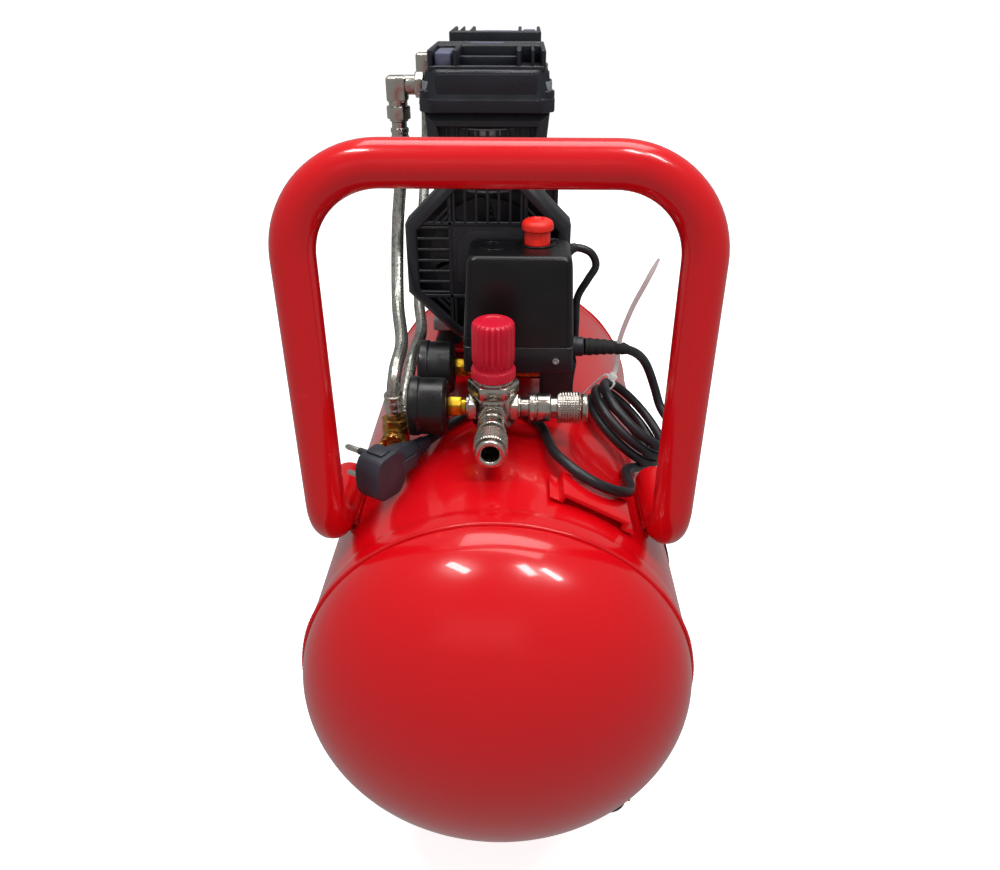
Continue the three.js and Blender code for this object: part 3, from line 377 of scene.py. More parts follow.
class Finish:
    """A procedural material, built up one effect at a time in object coordinates."""

    def __init__(self, name, color, roughness, metallic=0.0):
        self.material = bpy.data.materials.new(name)
        self.material.use_nodes = True
        self.tree = self.material.node_tree
        self.shader = self.tree.nodes["Principled BSDF"]
        self.set("Base Color", srgb(color))
        self.set("Roughness", roughness)
        self.set("Metallic", metallic)
        self.coords = self.tree.nodes.new("ShaderNodeTexCoord")

    def set(self, socket, value):
        self.shader.inputs[socket].default_value = value
        return self

    def noise(self, scale, detail=4, stretch=(1, 1, 1)):
        mapping = self.tree.nodes.new("ShaderNodeMapping")
        mapping.inputs["Scale"].default_value = stretch
        self.tree.links.new(self.coords.outputs["Object"], mapping.inputs["Vector"])
        node = self.tree.nodes.new("ShaderNodeTexNoise")
        node.inputs["Scale"].default_value = scale
        node.inputs["Detail"].default_value = detail
        self.tree.links.new(mapping.outputs["Vector"], node.inputs["Vector"])
        return node.outputs["Fac"]

    def ramp(self, source, start, end):
        """0 below start and 1 above end."""
        node = self.tree.nodes.new("ShaderNodeMapRange")
        node.inputs["From Min"].default_value = start
        node.inputs["From Max"].default_value = end
        self.tree.links.new(source, node.inputs["Value"])
        return node.outputs["Result"]

    def tint(self, color, source):
        """Mixes the colour over the present one where the source is high."""
        socket = self.shader.inputs["Base Color"]
        mix = self.tree.nodes.new("ShaderNodeMix")
        mix.data_type = "RGBA"
        if socket.links:
            self.tree.links.new(socket.links[0].from_socket, mix.inputs[6])
        else:
            mix.inputs[6].default_value = socket.default_value
        mix.inputs[7].default_value = srgb(color)
        self.tree.links.new(source, mix.inputs[0])
        self.tree.links.new(mix.outputs[2], socket)
        return self

    def mottle(self, color, scale, start=0.45, end=0.75, stretch=(1, 1, 1)):
        return self.tint(color, self.ramp(self.noise(scale, 5, stretch), start, end))

    def vary_roughness(self, lowest, highest, scale, stretch=(1, 1, 1)):
        node = self.tree.nodes.new("ShaderNodeMapRange")
        node.inputs["From Min"].default_value = 0.35
        node.inputs["From Max"].default_value = 0.7
        node.inputs["To Min"].default_value = lowest
        node.inputs["To Max"].default_value = highest
        self.tree.links.new(self.noise(scale, 6, stretch), node.inputs["Value"])
        self.tree.links.new(node.outputs["Result"], self.shader.inputs["Roughness"])
        return self

    def grain(self, scale, strength, stretch=(1, 1, 1), detail=3):
        """Fine relief on the surface."""
        bump = self.tree.nodes.new("ShaderNodeBump")
        bump.inputs["Strength"].default_value = strength
        bump.inputs["Distance"].default_value = 0.0005
        self.tree.links.new(self.noise(scale, detail, stretch), bump.inputs["Height"])
        socket = self.shader.inputs["Normal"]
        if socket.links:
            self.tree.links.new(socket.links[0].from_socket, bump.inputs["Normal"])
        self.tree.links.new(bump.outputs["Normal"], socket)
        return self


def red_paint():
    finish = Finish("red_paint", "#cf0511", 0.22)
    finish.set("Coat Weight", 0.42).set("Coat Roughness", 0.03).set("Specular IOR Level", 0.35)
    finish.mottle("#c9050f", 9, 0.4, 0.8).mottle("#dc1a24", 75, 0.68, 0.84)
    finish.vary_roughness(0.17, 0.28, 22)
    return finish.grain(60, 0.03).grain(900, 0.02).material


def black_plastic():
    finish = Finish("black_plastic", "#1b1c21", 0.42)
    return finish.mottle("#1f2127", 60).vary_roughness(0.38, 0.48, 60).grain(1500, 0.12).material


def black_casting():
    finish = Finish("black_casting", "#15171e", 0.38, 0.1)
    return finish.mottle("#1a1d26", 60).vary_roughness(0.34, 0.46, 80).grain(900, 0.25).material


def pale_casting():
    finish = Finish("pale_casting", "#4b4d63", 0.5, 0.2)
    return finish.mottle("#5f6276", 60).vary_roughness(0.4, 0.65, 50).grain(900, 0.25).material


def rubber():
    finish = Finish("rubber", "#131313", 0.75)
    return finish.mottle("#1f1e1d", 60).vary_roughness(0.62, 0.9, 60).grain(1200, 0.2).material


def tyre_rubber():
    finish = Finish("tyre_rubber", "#151515", 0.8)
    return finish.mottle("#2a2825", 30).vary_roughness(0.68, 0.95, 40).grain(700, 0.35).material


def aluminium():
    finish = Finish("aluminium", "#a3a6a8", 0.42, 0.9)
    return finish.mottle("#8b8e91", 60).vary_roughness(0.34, 0.6, 80).grain(1100, 0.3).material


def steel():
    finish = Finish("steel", "#8d8f91", 0.35, 1.0)
    return finish.mottle("#7d7e80", 80, 0.5, 0.8).vary_roughness(0.3, 0.4, 120).grain(800, 0.08).material


def braided_steel():
    finish = Finish("braided_steel", "#b5b4ac", 0.32, 0.9)
    return finish.mottle("#6d6c66", 300, 0.45, 0.7).vary_roughness(0.22, 0.45, 300).material


def nickel():
    finish = Finish("nickel", "#c3bdb4", 0.2, 1.0)
    finish.mottle("#9c968e", 90, 0.55, 0.85).vary_roughness(0.14, 0.34, 130)
    return finish.grain(900, 0.06).material


def zinc():
    finish = Finish("zinc", "#b9c0c4", 0.3, 0.95)
    return finish.mottle("#8f979d", 200).vary_roughness(0.22, 0.45, 200).material


def brass():
    finish = Finish("brass", "#b98b45", 0.27, 1.0)
    return finish.mottle("#8d6a35", 110, 0.5, 0.8).vary_roughness(0.2, 0.42, 140).grain(900, 0.08).material


def yellow_brass():
    finish = Finish("yellow_brass", "#d2a52c", 0.3, 0.9)
    return finish.mottle("#a8801e", 130).vary_roughness(0.22, 0.42, 140).grain(900, 0.08).material


def copper():
    return Finish("copper", "#a4552a", 0.35, 1.0).mottle("#7c3d1c", 300).vary_roughness(0.25, 0.5,
                                                                                        200).material


def crimson_knob():
    finish = Finish("crimson_knob", "#c80b2c", 0.36)
    return finish.mottle("#bb0a28", 60).vary_roughness(0.32, 0.44, 60).grain(1200, 0.08).material


def stop_knob_plastic():
    finish = Finish("stop_knob_plastic", "#ee2416", 0.4)
    return finish.mottle("#d81f14", 70).vary_roughness(0.32, 0.52, 60).grain(1200, 0.08).material


def gauge_black():
    finish = Finish("gauge_black", "#101113", 0.35)
    return finish.mottle("#1a1c1f", 70).vary_roughness(0.25, 0.5, 70).grain(1000, 0.1).material


def dial_white():
    return Finish("dial_white", "#f1f1ec", 0.6).mottle("#e4e3dc", 60).grain(1500, 0.03).material


def print_black():
    return Finish("print_black", "#16161a", 0.6).mottle("#25252b", 500).material


def clear_glass():
    finish = Finish("clear_glass", "#ffffff", 0.03)
    finish.set("Transmission Weight", 1.0).set("IOR", 1.35)
    return finish.grain(40, 0.01).material


def switch_plastic():
    finish = Finish("switch_plastic", "#0b0b0d", 0.28)
    finish.set("Specular IOR Level", 0.4).mottle("#111114", 50).vary_roughness(0.26, 0.36, 40)
    return finish.grain(1300, 0.09).material


def cord_jacket():
    finish = Finish("cord_jacket", "#15161a", 0.42)
    return finish.mottle("#22242b", 70).vary_roughness(0.32, 0.56, 60).grain(900, 0.08).material


def plug_plastic():
    finish = Finish("plug_plastic", "#2d3039", 0.46)
    finish.mottle("#282b34", 60).vary_roughness(0.42, 0.56, 60)
    return finish.grain(1000, 0.15).material


def tie_nylon():
    return Finish("tie_nylon", "#f6f6f4", 0.4).mottle("#ebeae7", 80).material


def sticker_white():
    return Finish("sticker_white", "#e9edf0", 0.3).mottle("#d7dde2", 40).vary_roughness(0.22, 0.4,
                                                                                        30).material


def sticker_blue():
    return Finish("sticker_blue", "#2b7fae", 0.3).mottle("#2570a0", 40).vary_roughness(0.22, 0.4, 30).material


RED = red_paint()
BLACK = black_plastic()
CAST = black_casting()
PALE_CAST = pale_casting()
RUBBER = rubber()
TYRE = tyre_rubber()
ALUMINIUM = aluminium()
STEEL = steel()
BRAID = braided_steel()
NICKEL = nickel()
ZINC = zinc()
BRASS = brass()
YELLOW_BRASS = yellow_brass()
COPPER = copper()
CRIMSON = crimson_knob()
STOP_RED = stop_knob_plastic()
GAUGE_BLACK = gauge_black()
DIAL_WHITE = dial_white()
PRINT = print_black()
GLASS = clear_glass()
SWITCH = switch_plastic()
JACKET = cord_jacket()
PLUG_GREY = plug_plastic()
NYLON = tie_nylon()
STICKER = sticker_white()
STICKER_BLUE = sticker_blue()


# ---- Power cord ----

CORD_DIAMETER = 0.0068
CORD_RISE = [  # from the gland down onto the coil, in metres
    (0.0583, -0.0400, 0.3518),
    (0.0815, -0.0376, 0.3502),
    (0.0923, -0.0319, 0.3456),
    (0.1006, -0.0248, 0.3385),
    (0.1071, -0.0182, 0.3291),
    (0.1123, -0.0145, 0.3180),
    (0.1171, -0.0150, 0.3054),
    (0.1214, -0.0210, 0.2934),
]
CORD_ROUTE = [  # from the coil to the plug, in metres
    (0.0914, -0.0890, 0.2799),
    (0.0876, -0.0970, 0.2833),
    (0.0860, -0.1090, 0.2860),
    (0.0865, -0.1230, 0.2890),
    (0.0855, -0.1360, 0.2930),
    (0.0810, -0.1475, 0.2990),
    (0.0720, -0.1545, 0.3050),
    (0.0605, -0.1565, 0.3112),
    (0.0495, -0.1520, 0.3160),
    (0.0405, -0.1425, 0.3185),
    (0.0350, -0.1310, 0.3180),
    (0.0325, -0.1185, 0.3165),
    (0.0305, -0.1055, 0.3155),
    (0.0275, -0.0930, 0.3150),
    (0.0215, -0.0820, 0.3160),
    (0.0115, -0.0735, 0.3175),
    (-0.0005, -0.0700, 0.3182),
    (-0.0135, -0.0715, 0.3172),
    (-0.0250, -0.0775, 0.3155),
    (-0.0350, -0.0855, 0.3130),
    (-0.0430, -0.0950, 0.3106),
    (-0.0500, -0.1060, 0.3102),
]
COIL_ANGLE = radians(42)
COIL_RADIUS = 34.0
COIL_HALF_HEIGHT = 14.2
BOOT_LENGTH = 34
TIE_ANGLE = radians(150)  # round the coil

cord_radius = CORD_DIAMETER / MM / 2
coil_out = Vector((sin(COIL_ANGLE), 0, cos(COIL_ANGLE)))
coil_down = Vector((cos(COIL_ANGLE), 0, -sin(COIL_ANGLE)))
coil_base = middle("power_cord_coil") - coil_out * COIL_HALF_HEIGHT


def coil_turns():
    """Loose turns, from the end of the rise down to the tank's surface."""
    start, settled, end = 30, -100, -1105
    points = []
    for degrees in range(start, end, -20):
        if degrees > settled:
            share = (start + 20 - degrees) / (start + 20 - settled)
            height = 32.8 - 7.8 * share
        else:
            height = 25 - 21.6 * (settled - degrees) / (settled - end)
        angle = radians(degrees)
        loose = 1.6 * sin(angle * 0.37 + 1)
        radius = COIL_RADIUS + 0.5 * sin(angle * 0.61)
        across = coil_down * (radius * cos(angle) + loose)
        points.append(coil_base + coil_out * height + across + BACK * (radius * sin(angle)))
    return points


def make_cord():
    rise = [Vector(p) / MM for p in CORD_RISE]
    route = [Vector(p) / MM for p in CORD_ROUTE]
    path = path_through([*rise, *coil_turns(), *route], 2.2)
    cord = piece(
        "mains_cord", swept(path, cord_radius, 16), JACKET,
        replaces=("power_cord", "power_cord_rise", "power_cord_coil"), sharp=60,
    )
    return cord, path


cord, cord_path = make_cord()


def make_strain_relief():
    """A tapered boot with soft ribs over the cord's first stretch."""
    boot = [p for p in cord_path if (p - cord_path[0]).length < BOOT_LENGTH]

    def shape(distance, angle):
        taper = cord_radius + 0.4 + 2.4 * max(0, 1 - distance / BOOT_LENGTH)
        rib = 0.45 if int(distance / 2.6) % 2 else 0
        return taper + rib * (distance < 30)

    line = even(boot, 0.65)
    return piece("cord_boot", swept(line, 5, 20, shape), RUBBER, sharp=50)


cord_boot = make_strain_relief()


def plug_frame():
    """The plug's own axes: along to the cord, along the pins, and up."""
    end = Vector(CORD_ROUTE[-1]) / MM
    along = Vector((0.5, 0.86, -0.04)).normalized()
    pins = UP.cross(along).normalized()
    up = along.cross(pins)
    place = end - along * 48.3
    return Matrix((
        (along.x, pins.x, up.x, place.x),
        (along.y, pins.y, up.y, place.y),
        (along.z, pins.z, up.z, place.z),
        (0, 0, 0, 1),
    ))


def make_plug():
    """An angled two-pin mains plug with a faceted grip and a combed strain relief."""
    place = plug_frame()
    head_outline = rounded(
        [(-15.5, -7), (-11, -14.5), (6, -15.5), (13, -9), (13, 9), (6, 15.5), (-11, 14.5), (-15.5, 7)], 3, 3,
        closed=True,
    )
    head = along_y(prism(head_outline, -9.5, 8.6, 1.2, 3))
    face = aimed(disc(13.6, 7, 9.8, 40, 0.8), BACK)
    grip_rings = [(6, 9.4, 12.5), (16, 8.4, 11.5), (28, 6.6, 8.2), (34, 5.6, 6.2)]
    cut = 0.45
    corners = [(-1, -cut), (-cut, -1), (cut, -1), (1, -cut), (1, cut), (cut, 1), (-cut, 1), (-1, cut)]
    loops = [[(x, a * half_y, b * half_z) for a, b in corners] for x, half_y, half_z in grip_rings]
    grip = softened(loft(loops, capped=True), 0.8, 2, 20)
    panel = block(16, 1.2, 9, 17, -9.2, 0, 0.5)
    comb = [moved(block(1.3, 9.6 - 0.5 * k, 9.6 - 0.5 * k, 0, 0, 0, 0.5),
                  Matrix.Translation((35.6 + 2.5 * k, 0, 0)))
            for k in range(5)]
    core = aimed(disc(cord_radius + 0.7, 33, 48, 20, 0.3), RIGHT)
    earth = [block(9, 12, 1.6, -2, 0, side * 15.4, 0.5) for side in (-1, 1)]
    body = [head, face, grip, panel, core, *comb, *earth]
    plug = piece("plug_body", [moved(shape, place) for shape in body], PLUG_GREY, replaces="mains_plug")
    pins = []
    for side in (-1, 1):
        sleeve = aimed(disc(2.35, 9, 17.5, 20, 0.3), BACK, (0, 0, side * 9.5))
        pins.append(moved(sleeve, place))
    sleeves = piece("plug_pin_sleeves", pins, PLUG_GREY)
    tips = []
    for side in (-1, 1):
        outline = [(0, 17), (1.95, 17), (1.95, 26.5), (1.2, 28.6), (0, 28.9)]
        tips.append(moved(aimed(revolved(rounded(outline, 0.5), 20), BACK, (0, 0, side * 9.5)), place))
    return [plug, sleeves, piece("plug_pins", tips, NICKEL)]


plug_pieces = make_plug()


def ribbon(path, width, thickness, facing):
    """A flat strap along the path, its broad side turned towards facing."""
    loops = []
    for i, at in enumerate(path):
        tangent = (path[min(i + 1, len(path) - 1)] - path[max(i - 1, 0)]).normalized()
        out = facing(at) if callable(facing) else Vector(facing)
        out = (out - tangent * out.dot(tangent)).normalized()
        side = tangent.cross(out)
        taper = min(1, 0.45 + 0.12 * (len(path) - 1 - i))
        w, t = width * taper / 2, thickness / 2
        corners = [(-w, -t), (w, -t), (w, t), (-w, t)]
        loops.append([at + side * a + out * b for a, b in corners])
    return loft(loops, capped=True)


def make_cable_tie():
    """A tie round the coil's turns, with its long tail standing up."""
    centre = coil_base + coil_down * (COIL_RADIUS * cos(TIE_ANGLE)) \
        + BACK * (COIL_RADIUS * sin(TIE_ANGLE)) + coil_out * COIL_HALF_HEIGHT
    inward = (coil_down * cos(TIE_ANGLE) + BACK * sin(TIE_ANGLE)).normalized()
    corners = [(-5.6, -13.4), (5.6, -13.4), (5.6, 13.6), (-5.6, 13.6)]
    outline = rounded(corners, 4, 5, closed=True)
    loop = [centre + inward * a + coil_out * b for a, b in outline]
    loop.append(loop[0].copy())
    band = ribbon(even([Vector(p) for p in loop], 1.5), 3.6, 0.9, lambda at: at - centre)
    head = aimed(block(6, 5, 5.4, 0, 0, 0, 0.8), coil_out, centre + coil_out * 14.8)
    start = centre + coil_out * 16
    tail_points = [
        start, start + Vector((2, 0, 10)), start + Vector((1, -8, 30)), start + Vector((6, -20, 60)),
        start + Vector((13, -30, 84)), start + Vector((19, -34, 101)),
    ]
    tail = ribbon(path_through(tail_points, 2), 3.4, 1.0, FRONT)
    return piece("cable_tie", [band, head, tail], NYLON, sharp=30)


cable_tie = make_cable_tie()


# ---- Floor and light ----

def make_floor():
    bm = bmesh.new()
    bmesh.ops.create_grid(bm, x_segments=1, y_segments=1, size=6000)
    mesh = bpy.data.meshes.new("floor")
    bm.transform(Matrix.Scale(MM, 4))
    bm.to_mesh(mesh)
    bm.free()
    finish = Finish("floor_white", "#f4f4f4", 0.8)
    finish.set("Emission Color", (1, 1, 1, 1)).set("Emission Strength", 0.7).set("Specular IOR Level", 0)
    mesh.materials.append(finish.material)
    floor = bpy.data.objects.new("floor", mesh)
    bpy.context.scene.collection.objects.link(floor)
    floor.visible_glossy = False
    floor.visible_diffuse = False


def area_light(name, place, target, width, height, power, reflected=True):
    data = bpy.data.lights.new(name, "AREA")
    data.shape = "RECTANGLE"
    data.size = width
    data.size_y = height
    data.energy = power
    light = bpy.data.objects.new(name, data)
    light.visible_glossy = reflected
    light.location = place
    light.rotation_euler = (Vector(target) - Vector(place)).to_track_quat("-Z", "Y").to_euler()
    bpy.context.scene.collection.objects.link(light)


def make_light():
    """Soft boxes over a white room. The room looks brighter to the camera than it lights the object."""
    world = bpy.data.worlds.new("studio")
    world.use_nodes = True
    tree = world.node_tree
    lighting = tree.nodes["Background"]
    lighting.inputs["Color"].default_value = (1, 1, 1, 1)
    lighting.inputs["Strength"].default_value = 0.33
    seen = tree.nodes.new("ShaderNodeBackground")
    seen.inputs["Color"].default_value = (1, 1, 1, 1)
    seen.inputs["Strength"].default_value = 1.0
    path = tree.nodes.new("ShaderNodeLightPath")
    mix = tree.nodes.new("ShaderNodeMixShader")
    tree.links.new(path.outputs["Is Camera Ray"], mix.inputs["Fac"])
    tree.links.new(lighting.outputs["Background"], mix.inputs[1])
    tree.links.new(seen.outputs["Background"], mix.inputs[2])
    tree.links.new(mix.outputs["Shader"], tree.nodes["World Output"].inputs["Surface"])
    bpy.context.scene.world = world
    bpy.context.scene.view_settings.view_transform = "Standard"
    target = (0, 0, 0.3)
    area_light("key", (-0.62, -0.5, 1.9), target, 0.5, 0.16, 9)
    area_light("window_left", (0.42, -0.55, 1.8), target, 0.16, 0.34, 5)
    area_light("window_right", (0.72, -0.5, 1.6), target, 0.12, 0.34, 5)
    area_light("top", (0.1, 0.5, 2.2), target, 1.6, 1.0, 22)
    area_light("front", (-0.3, -2.4, 1.3), target, 1.6, 0.8, 15, reflected=False)
    area_light("back", (0.0, 2.6, 1.6), target, 2.0, 1.2, 10, reflected=False)


make_floor()
make_light()


# ---- Tank ----

def make_tank():
    half = rear_seam - GAP
    joggle = 10  # each barrel end steps over the head's flange
    outline = [(tank_radius - 2, -half), (tank_radius, -half), (tank_radius, -half + joggle),
               (tank_radius - 0.7, -half + joggle + 5)]
    outline += [(r, -y) for r, y in reversed(outline)]
    barrel = aimed(revolved(rounded(outline, 2.5, 4), 160), BACK, (0, 0, tank_axis))
    shapes = [barrel]
    for place, way in bung_places():
        tube = ring(7.2, 11, -6, 6, 40, 0.8)
        fillet = revolved([(11, 3.2), (11.8, 1.6), (13.2, 0.4), (15, -1.2), (11, -3)], 40)
        shapes += [aimed(tube, way, place), aimed(fillet, way, place)]
    piece("tank_barrel_shell", shapes, RED, replaces="tank_barrel", sharp=50)
    for name, seam, way in (("front", front_seam, FRONT), ("rear", rear_seam, BACK)):
        steps = 40
        dome = [(tank_radius - 0.9, -2)]
        for i in range(steps + 1):
            a = pi / 2 * i / steps
            dome.append((0 if i == steps else (tank_radius - 0.9) * cos(a), tank_dome * sin(a)))
        shape = aimed(revolved(dome, 160), way, (0, seam, tank_axis))
        piece("tank_" + name + "_dome", shape, RED, replaces="tank_" + name + "_head", sharp=60)
        bead = weld_ring(tank_radius - 0.4, 2.6)
        piece("tank_" + name + "_weld", aimed(bead, way, (0, seam, tank_axis)), RED, sharp=60)
    seam_angle = radians(200)
    weld = []
    for i in range(240):
        y = -half + 14 + (2 * half - 28) * i / 239
        r = tank_radius + 0.2 + 0.25 * sin(i * 1.9)
        weld.append(Vector((r * sin(seam_angle), y, tank_axis + r * cos(seam_angle))))
    piece("tank_barrel_weld", swept(weld, 1.4, 10), RED, sharp=60)


def bung_places():
    """Where each threaded bung is, and the way it faces."""
    valve_x = middle("check_valve").x
    return [
        (Vector((RISER_X, RISER_Y, tank_top(RISER_X))), UP),
        (Vector((valve_x, VALVE_Y, tank_top(valve_x))), UP),
        (Vector((0, 0, tank_axis - tank_radius)), DOWN),
    ]


def weld_ring(radius, width):
    """A weld bead round the tank, with the ripples of its passes."""
    path = []
    for i in range(480):
        a = 2 * pi * i / 480
        wobble = 0.12 * sin(a * 7) + 0.08 * sin(a * 23)
        path.append(Vector(((radius + wobble) * cos(a), (radius + wobble) * sin(a), 0)))
    path.append(path[0].copy())
    return swept(path, width / 2, 10, lambda s, a: width / 2 + 0.14 * sin(s * 1.7))


make_tank()


# ---- Handle and data-plate bracket ----

def bent_path(corners, spacing=3):
    """Straight runs joined by arcs, from (point, bend radius) pairs."""
    points = [corners[0][0]]
    for (before, _), (corner, bend), (after, _) in zip(corners, corners[1:], corners[2:]):
        back = (before - corner).normalized()
        on = (after - corner).normalized()
        turn = pi - back.angle(on)
        reach = bend * tan(turn / 2)
        start, end = corner + back * reach, corner + on * reach
        centre = corner + (back + on).normalized() * (bend / cos(turn / 2))
        arm, axis = start - centre, (start - centre).cross(end - centre)
        for k in range(25):
            points.append(centre + Matrix.Rotation(turn * k / 24, 3, axis) @ arm)
    points.append(corners[-1][0])
    return even(points, spacing)


def make_handle():
    lo, hi = low("handle"), high("handle")
    tube = 12
    x, y = hi.x - tube, lo.y + tube
    foot_z, top_z = lo.z + tube, hi.z - tube
    back_y = hi.y
    run = []
    for side in (-1, 1):
        leg = [(Vector((side * x, back_y, foot_z)), 0), (Vector((side * x, y, foot_z)), 28),
               (Vector((side * x, y, top_z)), 48)]
        run += leg if side < 0 else leg[::-1]
    path = bent_path(run, 4)
    total = length_of(path)

    def shape(distance, angle):
        end = min(distance, total - distance)
        return tube * sqrt(max(0.05, 1 - max(0, 1 - end / 5) ** 2)) if end < 5 else tube

    piece("handle_tube", swept(path, tube, 36, shape), RED, replaces="handle", sharp=50)
    beads = []
    for side in (-1, 1):
        angle = atan2(x, foot_z - tank_axis)
        for spread in (-1, 1):
            a = angle + spread * 0.026
            r = tank_radius + 1.6
            line = [Vector((side * r * sin(a), back_y - 8 - 44 * k / 60 + 0.3 * sin(k * 2.1),
                            tank_axis + r * cos(a))) for k in range(61)]
            beads.append(swept(line, 2.2, 10, lambda s, v: 2.3 + 0.3 * sin(s * 2.2)))
    piece("handle_welds", beads, RED, sharp=60)


make_handle()


def make_data_plate():
    """A folded bracket with two legs, for the data plate."""
    angle = radians(27.5)
    lo, hi = low("data_plate_bracket"), high("data_plate_bracket")
    half, sheet, flange, top = 23.5, 3, 6, tank_radius + 6
    foot = sqrt(tank_radius**2 - (half - sheet) ** 2) + GAP
    outline = [
        (-half - flange, foot), (-half + sheet, foot), (-half + sheet, top - sheet),
        (half - sheet, top - sheet), (half - sheet, foot), (half + flange, foot), (half + flange, foot + 1.2),
        (half, foot + 1.2), (half, top), (-half, top), (-half, foot + 1.2), (-half - flange, foot + 1.2),
    ]
    bm = along_y(prism(outline, lo.y, hi.y, 0.45, 2))
    turn = Matrix.Translation((0, 0, tank_axis)) @ Matrix.Rotation(angle, 4, "Y")
    piece("plate_bracket", moved(bm, turn), RED, replaces="data_plate_bracket")


make_data_plate()


# ---- Wheels, feet and brackets ----

def saddle(node, half_strip, name):
    lo, hi = low(node), high(node)
    half, sheet = 70, 3
    top = hi.z
    z = lo.z
    outline = [
        (-half_strip, z), (half_strip, z), (half_strip, z + sheet), (half, z + sheet), (half, top),
        (half - sheet, top), (half - sheet, z + sheet), (-half + sheet, z + sheet), (-half + sheet, top),
        (-half, top), (-half, z + sheet), (-half_strip, z + sheet),
    ]
    piece(name, along_y(prism(outline, lo.y, hi.y, 0.5, 2)), RED, replaces=node)


def make_wheels():
    axle = middle("axle")
    ends = high("axle").x
    rod = [aimed(disc(5, -ends, ends, 32, 1), RIGHT, (0, axle.y, axle.z))]
    for side in (-1, 1):
        for at in (ends - 1.6, middle("wheel_hub_right").x - 17.4):
            rod.append(aimed(ring(5, 7.8, -0.6, 0.6, 32, 0.3), RIGHT, (side * at, axle.y, axle.z)))
    piece("wheel_axle", rod, STEEL, replaces="axle")
    for side, way in (("left", LEFT), ("right", RIGHT)):
        place = Vector((middle("wheel_tyre_" + side).x, axle.y, axle.z))
        body = "wheel_" + side
        rim_outline = [(39, -11), (45, -11), (45, 11), (39, 11), (40.5, 2), (40.5, -2)]
        rim = revolved(rounded(rim_outline, 1.2, 3, closed=True), 96, closed=True)
        boss = ring(5.5, 12.5, -14, 16, 48, 1.2)
        web = ring(12, 41, -1.6, 1.6, 96, 0.4)
        spokes = []
        for k in range(6):
            for tone in (-1, 1):
                spoke = block(28, 4, 7.5, 26, 0, tone * 5, 1.2)
                spokes.append(moved(spoke, Matrix.Rotation(2 * pi * k / 6, 4, "Z")))
        piece("hub_" + side, [aimed(s, way, place) for s in (rim, boss, web, *spokes)], BLACK, body,
              replaces="wheel_hub_" + side)
        piece("tyre_" + side, aimed(tyre_shape(), way, place), TYRE, body, replaces="wheel_tyre_" + side)


def tyre_shape():
    """A solid tyre with cross grooves in its tread and a raised line on its wall."""
    outline = [
        (45.3, -11), (48, -14), (50, -13.6), (51.5, -13.9), (54, -9.5), (54, -3), (53, -2.4), (53, 2.4),
        (54, 3), (54, 9.5), (51.5, 13.9), (50, 13.6), (48, 14), (45.3, 11),
    ]

    def wave(angle, radius, height):
        if radius < 52.5 or abs(height) < 2.8:
            return radius
        shift = 0.035 if height > 0 else 0
        groove = ((angle + shift) * 36 / (2 * pi)) % 1
        return radius - (1.3 if groove < 0.22 else 0)

    return revolved(rounded(outline, 0.8, 2, closed=True), 288, closed=True, wave=wave)


def make_feet():
    for side in ("left", "right"):
        node = "rubber_foot_" + side
        at = middle(node)
        outline = [(0, 6), (4, 6), (4, 0), (13.5, 0), (15.7, 1.6), (15, 6), (15.6, 8), (14, 12), (13.2, 17.9),
                   (0, 17.9)]
        foot = revolved(rounded(outline, 0.8, 3), 64)
        screw = shifted(cap_screw(3.6, 4), z=2)
        piece("foot_" + side, moved(foot, Matrix.Translation((at.x, at.y, 0))), RUBBER, replaces=node)
        nut = shifted(hexagon(10, 0, 5), at.x, at.y, 21.4)
        piece("foot_nut_" + side, [aimed(screw, DOWN, (at.x, at.y, 6)), nut], ZINC)


def make_drain():
    node = "drain_screw"
    top = tank_axis - tank_radius
    stem = shifted(disc(6.5, -12, 4, 32), z=top)
    collar = shifted(hexagon(17, -12, -6.4), z=top)
    wing = shifted(block(26, 3, 12, 0, 0, -17, 1.3, 3), z=top)
    piece("drain_tap", [stem, collar, wing], BRASS, "drain_screw", replaces=node)


saddle("axle_bracket", 70, "axle_saddle")
saddle("foot_bracket", 104, "foot_saddle")
make_wheels()
make_feet()
make_drain()


# ---- Pump ----

deck_low = low("cylinder_head_front").z
HEAD_BODY = 25.5  # up to the head's deck
SCREW_INSET, SCREW_Y = 6.6, 31
GUARD_DEPTH = 26
FRAME_WIDTH = 9  # the guard's frame round its grille
deck_high = deck_low + HEAD_BODY
rib_high = high("cylinder_head_front").z
head_half = (high("cylinder_head_front").x - low("cylinder_head_front").x) / 2
spacing = shaft.y - middle("cylinder_front").y
PUMP_ENDS = (
    ("front", Matrix.Translation((shaft.x, shaft.y - spacing, shaft.z))),
    ("rear", Matrix.Translation((shaft.x, shaft.y + spacing, shaft.z)) @ Matrix.Rotation(pi, 4, "Z")),
)


def octagon(half_width, half_height, chamfer, inset=0):
    w, h = half_width - inset, half_height - inset
    c = chamfer - inset * (2 - sqrt(2))
    return [
        (-w, -h + c), (-w + c, -h), (w - c, -h), (w, -h + c), (w, h - c), (w - c, h), (-w + c, h), (-w, h - c)
    ]


def at_depth(outline, y):
    return [Vector((x, y, z)) for x, z in outline]


def bar(start, end, width, depth, bevel=0.35):
    """A straight grille bar between two (x, z) points, as deep along y as it says."""
    a, b = Vector((start[0], 0, start[1])), Vector((end[0], 0, end[1]))
    along = (b - a)
    size = along.length
    shape = block(size, depth, width, 0, 0, 0, bevel, 1)
    turn = Matrix.Rotation(-atan2(along.z, along.x), 4, "Y")
    return moved(shape, Matrix.Translation((a + b) / 2) @ turn)


